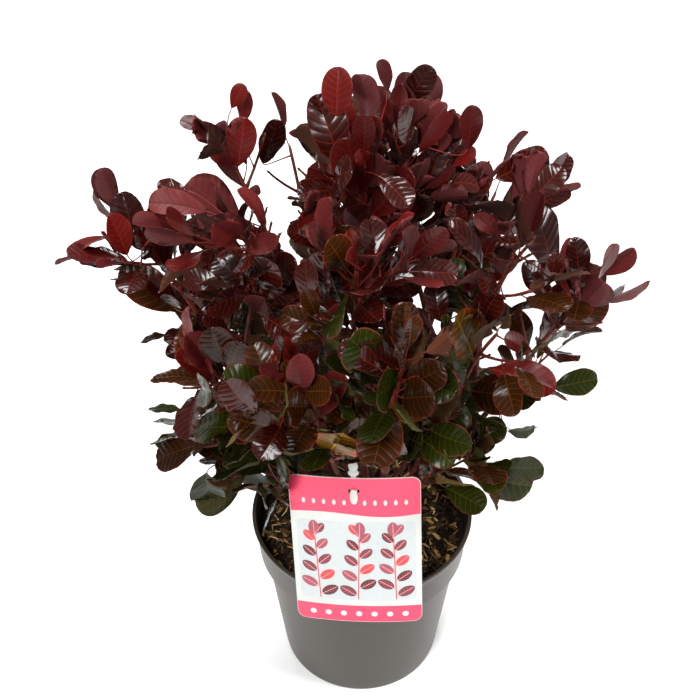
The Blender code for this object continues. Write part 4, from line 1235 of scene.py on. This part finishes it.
def dress_leaves(number, shoot, leaves, forms):
    """The finished leaves of one shoot, joined into one piece."""
    draw = random.Random(SEED * 1000 + 900 + number)
    pile = Pile()
    moods = {}
    for root, petiole, blade, upper, size, petiole_length, share, axis in leaves:
        if axis not in moods:
            moods[axis] = (draw.uniform(-1, 1), draw.choice((0, 1, 2)))
        mood, shade = moods[axis]
        neck = root + petiole * petiole_length
        kind = spray_kinds(shoot, neck, share, mood, draw)
        if draw.random() < 0.4:
            shade = draw.choice((0, 1, 2))
        points, faces, slots = draw.choice(forms[kind])
        frame_axes = np.array([tuple(blade.cross(upper).normalized()), tuple(blade), tuple(upper)])
        placed = np.array(tuple(neck)) + (points * (BLADE_LENGTH * size)) @ frame_axes
        table = np.array([pile.slot(f"{kind}_{shade}_{part}") for part in PART_NAMES])
        pile.add(placed, faces, table[slots])
    slot = "foliage_green" if shoot["low"] else "foliage_red"
    return settle(pile.build("leaves_" + shoot["name"]), slot, "foliage_" + shoot["name"])


def dress_petioles(everything):
    """Every leaf stalk: thick at its root, curved into the blade."""
    draw = random.Random(SEED + 77)
    pile = Pile()
    for root, petiole, blade, upper, size, petiole_length, *_ in everything:
        neck = root + petiole * petiole_length
        end = neck + blade * (0.045 * BLADE_LENGTH * size) - upper * 0.0004
        line = curve_points(root - petiole * 0.001, petiole, end, blade)
        radii = [radius * (0.62 + 0.38 * size) for radius in STALK_RADII]
        red = draw.random() < 0.3 + 2.2 * (neck.z - POT_HEIGHT)
        finish = "petiole_red" if red else draw.choice(("petiole_brown", "petiole_green"))
        pile.add_plain(*limb(line_between(line, 0, 1, len(radii) - 1), radii, STALK_SIDES), finish)
    return settle(pile.build("petioles"), "bark")


def dress_twigs(shoots, axes_of, finer_of):
    """The leafy stems, their side twigs and the finer twigs, with a bud at each tip."""
    pile = Pile()
    for name, shoot in shoots.items():
        first = 0 if shoot["low"] else shoot["leafy"] - 0.02
        points = smooth_line(shoot["path"], first, 1, STEM_ROWS)
        shares = [first + (1 - first) * k / STEM_ROWS for k in range(STEM_ROWS + 1)]
        radii = [max(THINNEST_STEM, bough_radius(shoot, share)) for share in shares]
        if shoot["low"]:
            points.insert(0, shoot["root"])
            radii.insert(0, radii[0] * 1.3)
        radii = [radius * (1 + 0.10 * math.sin(7.1 * k)) for k, radius in enumerate(radii)]
        pile.add_plain(*limb(points, radii, 10, STEM_RELIEF), "young_bark")
        lines = [(line, *SIDE_TWIG) for line, _, _ in axes_of[name][1:]]
        lines += [(line, *FINE_TWIG) for line, _, _ in finer_of[name]]
        for line, thick, thin, sides in lines:
            radii = [thick + (thin - thick) * k / TWIG_ROWS for k in range(TWIG_ROWS + 1)]
            radii[0] += TWIG_SWELLING
            points = smooth_line(line, 0, 1, TWIG_ROWS)
            pile.add_plain(*limb(points, radii, sides, TWIG_RELIEF), "young_bark")
        for line in [shoot["path"]] + [entry[0] for entry in lines]:
            pile.add_plain(*bud(line), "bud")
    return settle(pile.build("twigs"), "bark")


def bud(line):
    """A small pointed bud at the end of a twig."""
    ahead = (line[-1] - line[-2]).normalized()
    return limb([line[-1] + ahead * place for place in BUD_PLACES], BUD_RADII, 8)


def bark_piece(name, shape, finish, node):
    """The bark of one limb, which stands for a node of the source."""
    pile = Pile()
    pile.add_plain(*shape, finish)
    return settle(pile.build(name), "bark", node)


def dress_trunk():
    """The trunk's bark: its flare, a rounded crotch, and the relief of old bark."""
    shares = [k / TRUNK_ROWS for k in range(TRUNK_ROWS + 1)]
    points = [trunk_point(share) for share in [-0.06] + shares]
    radii = [trunk_radius(0) * 1.04] + [trunk_radius(share) for share in shares]
    top = points[-1]
    ahead = (top - points[-2]).normalized()
    for k in range(1, 7):
        turn = math.pi / 2 * k / 6.5
        points.append(top + ahead * (TRUNK_DOME * math.sin(turn)))
        radii.append(TRUNK_TOP_RADIUS * math.cos(turn))
    return bark_piece("trunk_bark", limb(points, radii, 36, TRUNK_RELIEF), "bark", "trunk")


def dress_bough(shoot):
    """One bough's bark, from inside its parent to where its leaves begin, swollen at its collar."""
    bare = smooth_line(shoot["path"], 0, shoot["leafy"], BOUGH_ROWS)
    points = [shoot["root"], shoot["root"].lerp(bare[0], 0.5)] + bare
    radii = [bough_radius(shoot, 0) * 1.5, bough_radius(shoot, 0) * 1.35]
    for k in range(BOUGH_ROWS + 1):
        knot = 0.10 * max(0, math.sin(k * 1.15)) ** 6
        radius = bough_radius(shoot, shoot["leafy"] * k / BOUGH_ROWS)
        radii.append(radius * (1 + 0.28 * math.exp(-k / 2.5) + knot))
    finish = "bark" if shoot["radius"] > OLD_BOUGH else "young_bark"
    name = shoot["name"]
    return bark_piece("bark_" + name, limb(points, radii, 16, BOUGH_RELIEF), finish, "bough_" + name)


def fans_and_quads(points, faces):
    """Points and faces of mixed length as the arrays that a pile takes."""
    return as_rows(points), np.array([tuple(face) + (-1,) * (4 - len(face)) for face in faces])


def arc(centre, radius, start, end, steps):
    """Points of an arc, as (radius from the axis, height), between two angles in degrees."""
    angles = [math.radians(start + (end - start) * k / steps) for k in range(steps + 1)]
    return [(centre[0] + radius * math.cos(angle), centre[1] + radius * math.sin(angle)) for angle in angles]


def dress_pot():
    """The pot: a rounded foot, a tapering body, the stepped-out collar and a rolled lip."""
    body_top = COLLAR_RADIUS - COLLAR_STEP
    collar_top = RIM_RADIUS - LIP
    profile = [(0, FLOOR_HOLLOW), (BASE_RADIUS - 0.014, FLOOR_HOLLOW), (BASE_RADIUS - 0.0125, 0.0)]
    profile += [(BASE_RADIUS - FOOT_ROUND - 0.001, 0.0)]
    profile += arc((BASE_RADIUS - FOOT_ROUND, FOOT_ROUND), FOOT_ROUND, -80, -6, 8)
    for k in range(1, 25):
        height = FOOT_ROUND + (STEP_HEIGHT - 0.004 - FOOT_ROUND) * (k / 25)
        profile.append((BASE_RADIUS + (body_top - BASE_RADIUS) * height / STEP_HEIGHT, height))
    profile += arc((body_top + STEP_ROUND, STEP_HEIGHT - 0.0036), STEP_ROUND, 180, 100, 5)
    profile += arc((COLLAR_RADIUS - COLLAR_ROUND, STEP_HEIGHT + COLLAR_ROUND), COLLAR_ROUND, -78, 0, 5)
    for k in range(1, 9):
        height = STEP_HEIGHT + COLLAR_ROUND + (POT_HEIGHT - LIP - 0.0028 - STEP_HEIGHT) * (k / 9)
        share = height - STEP_HEIGHT
        profile.append((COLLAR_RADIUS + (collar_top - COLLAR_RADIUS) * share / COLLAR_HEIGHT, height))
    profile += arc((RIM_RADIUS - LIP_ROUND, POT_HEIGHT - LIP + 0.0002), LIP_ROUND, -70, 0, 4)
    profile += arc((RIM_RADIUS - LIP_ROUND, POT_HEIGHT - LIP_ROUND), LIP_ROUND, 0, 90, 5)
    profile += arc((collar_top - WALL + LIP_ROUND, POT_HEIGHT - LIP_ROUND), LIP_ROUND, 90, 180, 5)
    outside = len(profile)
    for k in range(1, 6):
        height = POT_HEIGHT - 0.003 - (COLLAR_HEIGHT - 0.006) * k / 5
        profile.append((inner_radius(height), height))
    profile += [(COLLAR_RADIUS - WALL, STEP_HEIGHT + WALL), (body_top - WALL, STEP_HEIGHT - 0.0010)]
    profile += [(BASE_RADIUS - WALL, INNER_FLOOR), (0, INNER_FLOOR)]
    points, faces = fans_and_quads(*turned(profile, POT_SIDES))
    pile = Pile()
    slots = np.full(len(faces), pile.slot("pot_plastic"))
    # the inner lip, inner wall and floor take the darker finish: painted shade inside the pot
    slots[(outside - 2) * POT_SIDES:] = pile.slot("pot_inside_painted_shade")
    pile.add(points, faces, slots)
    piece = pile.build("pot_shell")
    turn_out(piece)
    drain_holes(piece)
    return settle(piece, "pot_plastic", "pot")


def drain_holes(piece):
    """Drain holes round the pot's floor, blind against the potting mix."""
    shape = bmesh.new()
    for k in range(DRAIN_HOLES):
        turn = 2 * math.pi * (k + 0.5) / DRAIN_HOLES
        place = Matrix.Translation(Vector((DRAIN_CIRCLE * math.cos(turn), DRAIN_CIRCLE * math.sin(turn), 0)))
        bmesh.ops.create_cone(shape, cap_ends=True, segments=20, radius1=DRAIN_RADIUS, radius2=DRAIN_RADIUS,
                              depth=DRAIN_DEPTH, matrix=place)
    mesh = bpy.data.meshes.new("drain_cutter")
    shape.to_mesh(mesh)
    shape.free()
    cutter = place_object("drain_cutter", mesh)
    # the holes' walls take the same darker finish: painted shade in the holes
    mesh.materials.append(FINISHES["pot_inside_painted_shade"])
    cut = piece.modifiers.new("drain", "BOOLEAN")
    cut.operation = "DIFFERENCE"
    cut.object = cutter
    cut.solver = "EXACT"
    bpy.context.view_layer.update()
    piece.data = bpy.data.meshes.new_from_object(piece.evaluated_get(bpy.context.evaluated_depsgraph_get()))
    piece.modifiers.remove(cut)
    bpy.data.objects.remove(cutter, do_unlink=True)
    sharpen(piece, 40)


def sharpen(piece, angle):
    """Shade a piece smooth but for the edges that are sharper than an angle in degrees."""
    piece.data.shade_smooth()
    piece.data.set_sharp_from_angle(angle=math.radians(angle))


def turn_out(piece):
    """Turn every face of a closed mesh outwards."""
    shape = bmesh.new()
    shape.from_mesh(piece.data)
    bmesh.ops.recalc_face_normals(shape, faces=shape.faces)
    shape.to_mesh(piece.data)
    shape.free()


def soil_height(x, y):
    """Height of the crumbly surface of the potting mix."""
    radius = math.hypot(x, y)
    turn = math.atan2(y, x)
    wave = math.sin(3 * turn + 0.7) + 0.7 * math.sin(5 * turn + 40 * radius) + 0.5 * math.cos(8 * turn)
    share = min(1, max(0, (radius - 0.030) / 0.058))
    crumbs = noise.noise(Vector((x, y, 0)) * 190) + 0.6 * noise.noise(Vector((x, y, 3)) * 420)
    return SOIL_TOP - 0.0012 + SOIL_RELIEF * math.sin(math.pi * share) * wave / 2 + 0.0011 * crumbs


def dress_soil():
    """The plug of potting mix, with a crumbly top that meets the pot's wall."""
    profile = [
        (0, WALL + 0.0034),
        (BASE_RADIUS - WALL - SOIL_GAP - 0.001, WALL + 0.0034),
        (COLLAR_RADIUS - COLLAR_STEP - WALL - SOIL_GAP, STEP_HEIGHT - 0.0010),
        (COLLAR_RADIUS - WALL - SOIL_GAP, STEP_HEIGHT + 0.003),
    ]
    outer = inner_radius(SOIL_TOP) - SOIL_GAP
    profile += [(outer * (1 - k / SOIL_RINGS), SOIL_TOP) for k in range(SOIL_RINGS)] + [(0, SOIL_TOP)]
    points, faces = turned(profile, SOIL_SIDES)
    for point in points:
        if point.z > SOIL_TOP - 0.001:
            point.z = soil_height(point.x, point.y)
    pile = Pile()
    pile.add_plain(*fans_and_quads(points, faces), "potting_mix")
    piece = pile.build("potting_mix_top")
    turn_out(piece)
    return settle(piece, "potting_mix", "potting_soil")


def dress_chips():
    """Bark chips and fibres strewn over the potting mix."""
    draw = random.Random(SEED + 5)
    pile = Pile()
    outer = inner_radius(SOIL_TOP) - 0.0035
    for _ in range(CHIPS):
        radius = outer * math.sqrt(draw.random())
        turn = draw.uniform(0, 2 * math.pi)
        fibre = draw.random() < FIBRE_SHARE
        sizes = FIBRE_SIZES if fibre else CHIP_SIZES
        length, width, thick, raised = [draw.uniform(low, high) for low, high in sizes]
        if fibre:
            thick *= width
        radius = min(radius, outer - length / 2)
        x = radius * math.cos(turn)
        y = radius * math.sin(turn)
        middle = Vector((x, y, soil_height(x, y) + raised))
        heading = draw.uniform(0, 2 * math.pi)
        ahead = Vector((math.cos(heading), math.sin(heading), draw.uniform(-0.35, 0.35))).normalized()
        side = square_to(UP.cross(ahead) + UP * draw.uniform(-0.5, 0.5), ahead)
        shape = chip(middle, ahead, side, length, width, thick, draw)
        chance = draw.random()
        limits = FIBRE_LIMITS if fibre else CHIP_LIMITS
        pile.add_plain(*shape, next(name for name, limit in zip(CHIP_FINISHES, limits) if chance < limit))
    piece = pile.build("bark_chips")
    sharpen(piece, 38)
    return settle(piece, "potting_mix")


def chip(middle, ahead, side, length, width, thick, draw):
    """A splinter with an uneven section, thinner towards its ends."""
    other = ahead.cross(side)
    uneven = [draw.uniform(0.7, 1.2) for _ in range(CHIP_SIDES)]
    corners = []
    for place, girth in ((-0.5, draw.uniform(0.3, 0.8)), (-0.1, 1.0), (0.5, draw.uniform(0.2, 0.8))):
        bend = side * (draw.uniform(-0.08, 0.08) * length)
        for turn, rough in zip(turns(CHIP_SIDES), uneven):
            reach = side * (math.cos(turn) * width / 2) + other * (math.sin(turn) * thick / 2)
            corners.append(middle + ahead * (place * length) + bend + reach * girth * rough)
    faces = quads(3, CHIP_SIDES)
    end = 2 * CHIP_SIDES
    for n in range(1, CHIP_SIDES - 1):
        faces += [(0, n + 1, n, -1), (end, end + n, end + 1 + n, -1)]
    return as_rows(corners), np.array(faces)


def bow(across):
    """How far the card's sides stand back from its middle."""
    return CARD_BOW * (2 * across / CARD_WIDTH) ** 2


def in_slot(across, up):
    return abs(across) < SLOT_WIDTH / 2 and abs(up - CARD_HEIGHT / 2 + SLOT_DROP) < SLOT_HEIGHT / 2


def sheet_shape(outline, front, back):
    """A thin closed bmesh between two depths, cut from the bowed card's plane without the slot."""
    shape = bmesh.new()
    shape.faces.new([shape.verts.new((across, front, up)) for across, up in outline])
    low = min(across for across, _ in outline)
    high = max(across for across, _ in outline)
    pitch = CARD_WIDTH / CARD_COLUMNS
    places = [k * pitch for k in range(-CARD_COLUMNS // 2, CARD_COLUMNS // 2 + 1)]
    cuts = [((place, 0, 0), (1, 0, 0)) for place in places if low < place < high]
    if low < 0 < high and max(up for _, up in outline) > SLOT_UP:
        cuts += [((side * SLOT_WIDTH / 2, 0, 0), (1, 0, 0)) for side in (-1, 1)]
        cuts += [((0, 0, SLOT_UP + side * SLOT_HEIGHT / 2), (0, 0, 1)) for side in (-1, 1)]
    for place, normal in cuts:
        everything = shape.verts[:] + shape.edges[:] + shape.faces[:]
        bmesh.ops.bisect_plane(shape, geom=everything, plane_co=place, plane_no=normal)
    middles = [(face, face.calc_center_median()) for face in shape.faces]
    hole = [face for face, middle in middles if in_slot(middle.x, middle.z)]
    bmesh.ops.delete(shape, geom=hole, context="FACES")
    grown = bmesh.ops.extrude_face_region(shape, geom=shape.faces[:])
    moved = [item for item in grown["geom"] if isinstance(item, bmesh.types.BMVert)]
    bmesh.ops.translate(shape, verts=moved, vec=(0, back - front, 0))
    bmesh.ops.recalc_face_normals(shape, faces=shape.faces)
    for vertex in shape.verts:
        vertex.co.y += bow(vertex.co.x)
    return shape


def gather(pieces, name):
    """Join bmesh shapes, each with its finish, into one object in the card's place."""
    whole = bmesh.new()
    finishes = []
    for shape, finish in pieces:
        if finish not in finishes:
            finishes.append(finish)
        for face in shape.faces:
            face.material_index = finishes.index(finish)
        part = bpy.data.meshes.new("part")
        shape.to_mesh(part)
        shape.free()
        whole.from_mesh(part)
        bpy.data.meshes.remove(part)
    mesh = bpy.data.meshes.new(name)
    whole.to_mesh(mesh)
    whole.free()
    for finish in finishes:
        mesh.materials.append(FINISHES[finish])
    mesh.transform(card_matrix())
    return place_object(name, mesh)


def oval(middle, half_across, half_up, tilt=0.0, steps=28, pointed=0.0):
    """Outline of an oval about a point, drawn out to a point at its upper end where asked."""
    points = []
    for turn in turns(steps):
        across = half_across * math.cos(turn) * (1 - pointed * max(0, math.sin(turn)) ** 2)
        up = half_up * math.sin(turn)
        points.append((middle[0] + across * math.cos(tilt) + up * math.sin(tilt),
                       middle[1] - across * math.sin(tilt) + up * math.cos(tilt)))
    return points


def stroke(start, end, thick):
    """Outline of a straight line on the card."""
    start = Vector(start)
    end = Vector(end)
    ahead = (end - start).normalized()
    side = Vector((-ahead.y, ahead.x)) * (thick / 2)
    return [tuple(corner) for corner in (start - side, end - side, end + side, start + side)]


def dress_card():
    """The card itself: a thin bowed sheet with round corners and the clip's slot."""
    outline = card_outline(CARD_WIDTH / 2, CARD_HEIGHT / 2, CARD_CORNER, CORNER_STEPS)
    shape = sheet_shape(outline, -CARD_THICKNESS / 2, CARD_THICKNESS / 2)
    return settle(gather([(shape, "card_white")], "card"), "card_print", "label_card")


def dress_print():
    """The card's print, a plain design of bands, three leafy sprigs and dots, in thin layers of ink."""
    half = CARD_WIDTH / 2
    top = CARD_HEIGHT / 2
    side = half - PRINT_EDGE
    face = -CARD_THICKNESS / 2
    layers = []

    def ink(outline, finish, layer):
        layers.append((sheet_shape(outline, face - PRINT_RISE * layer, face + PRINT_SINK), finish))

    header_low = top - HEADER_DEPTH
    outline = card_outline(side, top - PRINT_EDGE, CARD_CORNER - PRINT_EDGE, CORNER_STEPS)
    header = [point for point in outline if point[1] > top - CARD_CORNER - 1e-6]
    header.sort(key=lambda point: -point[0])
    wave = [(-half + PRINT_EDGE + (CARD_WIDTH - 2 * PRINT_EDGE) * k / 24,
             header_low + 0.0022 * math.sin(2 * math.pi * k / 24)) for k in range(25)]
    ink(header + wave, "ink_pink", 1)
    for k in range(11):
        across = (k - 5) * 0.0092
        if abs(across) > SLOT_WIDTH / 2:
            ink(oval((across, top - 0.0265), 0.0016, 0.0030, 0.0, 16, 0.6), "ink_white", 2)
    panel_low = -top + 0.026
    panel_high = header_low - 0.0075
    panel = card_outline(half - 0.0050, (panel_high - panel_low) / 2, 0.004, 5)
    ink([(across, up + (panel_high + panel_low) / 2) for across, up in panel], "ink_sky", 1)
    foot_up = panel_low + 0.0015
    for k, (across, lean) in enumerate(((-0.0355, -0.03), (0.0, 0.04), (0.0355, -0.02))):
        for n in range(SPRIG_LEAVES):
            rise = (n + 0.4) * SPRIG_PITCH
            turn = lean + (-1 if (n + k) % 2 else 1) * (1.02 - 0.05 * n)
            finish = ("ink_maroon", "ink_plum", "ink_rose", "ink_plum", "ink_red")[(2 * n + 3 * k) % 5]
            stem = (across + lean * rise, foot_up + rise)
            ink_leaf(ink, stem, turn, 0.0195 - 0.0006 * n, finish, 3 + (n + k) % 2)
        tip = (across + lean * 0.080, foot_up + 0.0775)
        ink(stroke((across, foot_up), tip, 0.0011), "ink_red", 2)
        ink_leaf(ink, (tip[0], tip[1] - 0.007), lean, 0.0185, "ink_rose", 5)
    band_high = panel_low - 0.0065
    foot = [point for point in outline if point[1] < -top + CARD_CORNER + 1e-6]
    foot.sort(key=lambda point: point[0])
    ink(foot + [(side, band_high), (-side, band_high)], "ink_pink", 1)
    for k in range(7):
        ink(oval(((k - 3) * 0.0145, (band_high - top) / 2), 0.0030, 0.0030, 0.0, 20), "ink_white", 2)
    return settle(gather(layers, "card_ink"), "card_print")


def ink_leaf(ink, stem, turn, length, finish, layer):
    """One printed leaf that grows from a point of its stem, with its midrib and side veins."""
    ahead = Vector((math.sin(turn), math.cos(turn)))
    side = Vector((ahead.y, -ahead.x))
    foot = Vector(stem)
    middle = foot + ahead * (0.58 * length)
    ink(oval(middle, 0.27 * length, 0.44 * length, turn, 26, 0.15), finish, layer)
    ink(stroke(foot, foot + ahead * (0.96 * length), 0.0006), "ink_pale_pink", layer + 3)
    for k in range(4):
        place = foot + ahead * (length * (0.28 + 0.16 * k))
        for sign in (-1, 1):
            end = place + (side * (sign * 0.19) + ahead * 0.13) * length
            ink(stroke(place, end, 0.0003), "ink_red", layer + 2)


def rounded_bar(start, end, width, thickness, across):
    """A bar with soft edges between two points, for the clip."""
    ahead = (end - start).normalized()
    wide = square_to(across, ahead)
    thick = ahead.cross(wide).normalized()
    section = card_outline(width / 2, thickness / 2, CLIP_CORNER, 3)
    inner = [(start + ahead * CLIP_CORNER, 1.0), (end - ahead * CLIP_CORNER, 1.0)]
    rings = [[at + (wide * x + thick * y) * inset for x, y in section]
             for at, inset in [(start, 0.8)] + inner + [(end, 0.8)]]
    return closed(rings, start, end)


def lobe(middle, across, ahead, out, wide, high, deep):
    """A smooth egg-shaped lobe of the clip, of given half sizes."""
    rings = []
    for k in range(1, LOBE_ROWS):
        polar = math.pi * k / LOBE_ROWS
        girth = math.sin(polar) ** 0.8
        rings.append([middle - ahead * (high * math.cos(polar)) + across * (wide * girth * math.cos(turn))
                      + out * (deep * girth * math.sin(turn)) for turn in turns(LOBE_SIDES)])
    return closed(rings, middle - ahead * high, middle + ahead * high)


def dress_clip():
    """The card's holder: a stake from the potting mix, its tongue through the slot, a lobed knob."""
    place = card_matrix()
    across, out, up = [place.to_3x3() @ Vector(axis) for axis in ((1, 0, 0), (0, 1, 0), (0, 0, 1))]
    shoulder = place @ Vector((0, CLIP_BEHIND, SLOT_UP - 0.020))
    top = place @ Vector((0, CLIP_BEHIND, CARD_HEIGHT / 2 + KNOB_RISE))
    foot = Vector((shoulder.x, -(inner_radius(SOIL_TOP) - 0.006), SOIL_TOP - 0.012))
    front = place @ Vector((0, -CARD_THICKNESS / 2 - 0.0019, SLOT_UP))
    hang = place @ Vector((0, -CARD_THICKNESS / 2 - 0.0021, SLOT_UP - 0.0050))
    pile = Pile()
    for points, faces in (
        rounded_bar(foot, shoulder, 0.0050, 0.0016, across),
        rounded_bar(shoulder - up * 0.003, top, 0.0050, 0.0016, across),
        rounded_bar(place @ Vector((0, CLIP_BEHIND, SLOT_UP)), front, 0.0062, 0.0020, across),
        lobe(hang, across, up, out, 0.0035, 0.0078, 0.0011),
        lobe(top - up * 0.0006, across, up, out, 0.0044, 0.0058, 0.0016),
        lobe(top - up * 0.0078, across, up, out, 0.0050, 0.0034, 0.0015),
    ):
        pile.add_plain(points, faces, "clip_plastic")
    piece = pile.build("card_clip")
    piece.data.set_sharp_from_angle(angle=math.radians(50))
    return settle(piece, "clip_plastic", "label_clip")


def make_stage():
    """A pale floor, soft light from large lamps, and the photograph's camera."""
    bpy.ops.mesh.primitive_plane_add(size=14.0, location=(0, 0, 0))
    floor = bpy.context.object
    floor.name = "floor"
    floor.data.materials.append(plain_floor())
    world = bpy.data.worlds.new("studio")
    world.use_nodes = True
    world.node_tree.nodes["Background"].inputs["Color"].default_value = (1.0, 1.0, 1.0, 1)
    world.node_tree.nodes["Background"].inputs["Strength"].default_value = 0.22
    bpy.context.scene.world = world
    bpy.context.scene.view_settings.view_transform = "Standard"
    lamp("front_lamp", (-0.9, -2.0, 2.6), (0, 0, 0.30), 1.1, 105)
    lamp("side_lamp", (2.0, -0.7, 2.2), (0, 0, 0.35), 0.9, 62)
    lamp("top_lamp", (-0.3, 1.2, 2.7), (0, 0, 0.40), 1.1, 70)
    camera = place_object("camera", bpy.data.cameras.new("camera"))
    camera.location = CAMERA_PLACE
    camera.rotation_euler = (CAMERA_TILT, 0, 0)
    camera.data.lens = CAMERA_LENS
    camera.data.sensor_width = 36.0
    camera.data.clip_start = 0.01
    bpy.context.scene.camera = camera


def plain_floor():
    """The floor's pale, dull finish."""
    finish = bpy.data.materials.new("floor")
    finish.use_nodes = True
    shader = finish.node_tree.nodes["Principled BSDF"]
    shader.inputs["Base Color"].default_value = (0.90, 0.90, 0.90, 1)
    shader.inputs["Roughness"].default_value = 0.9
    shader.inputs["Specular IOR Level"].default_value = 0.1
    return finish


def lamp(name, place, target, size, power):
    """A large square lamp that looks at a point."""
    light = bpy.data.lights.new(name, "AREA")
    light.size = size
    light.energy = power
    thing = place_object(name, light)
    thing.location = place
    thing.rotation_euler = (Vector(target) - Vector(place)).to_track_quat("-Z", "Y").to_euler()


def main():
    make_stage()
    make_finishes()
    shoots = plan_shoots()
    limb_parts = [trunk_tube()] + collars_on("trunk", shoots)
    for shoot in shoots.values():
        if not shoot["low"]:
            limb_parts += [bough_tube(shoot)] + collars_on(shoot["name"], shoots)
    limb_parts.append(card_guard())
    limbs = tree_of(limb_parts)
    spaces = Spaces(shoots)
    crown = Crown()
    crown.add(-1, limb_parts)
    axes_of = {}
    leaves_of = {}
    finer_of = {}
    for number, (name, shoot) in enumerate(shoots.items()):
        axes_of[name], leaves_of[name], shapes = grow_leaves(number, shoot, spaces, limbs)
        crown.add(number, shapes)
    for number, (name, shoot) in enumerate(shoots.items()):
        finer_of[name], more = grow_finer(number, shoot, axes_of[name], spaces, crown)
        leaves_of[name] += more
    forms = leaf_forms()
    dress_trunk()
    for number, (name, shoot) in enumerate(shoots.items()):
        if not shoot["low"]:
            dress_bough(shoot)
        dress_leaves(number, shoot, leaves_of[name], forms)
    dress_petioles([leaf for leaves in leaves_of.values() for leaf in leaves])
    dress_twigs(shoots, axes_of, finer_of)
    dress_pot()
    dress_soil()
    dress_chips()
    dress_card()
    dress_print()
    dress_clip()


main()
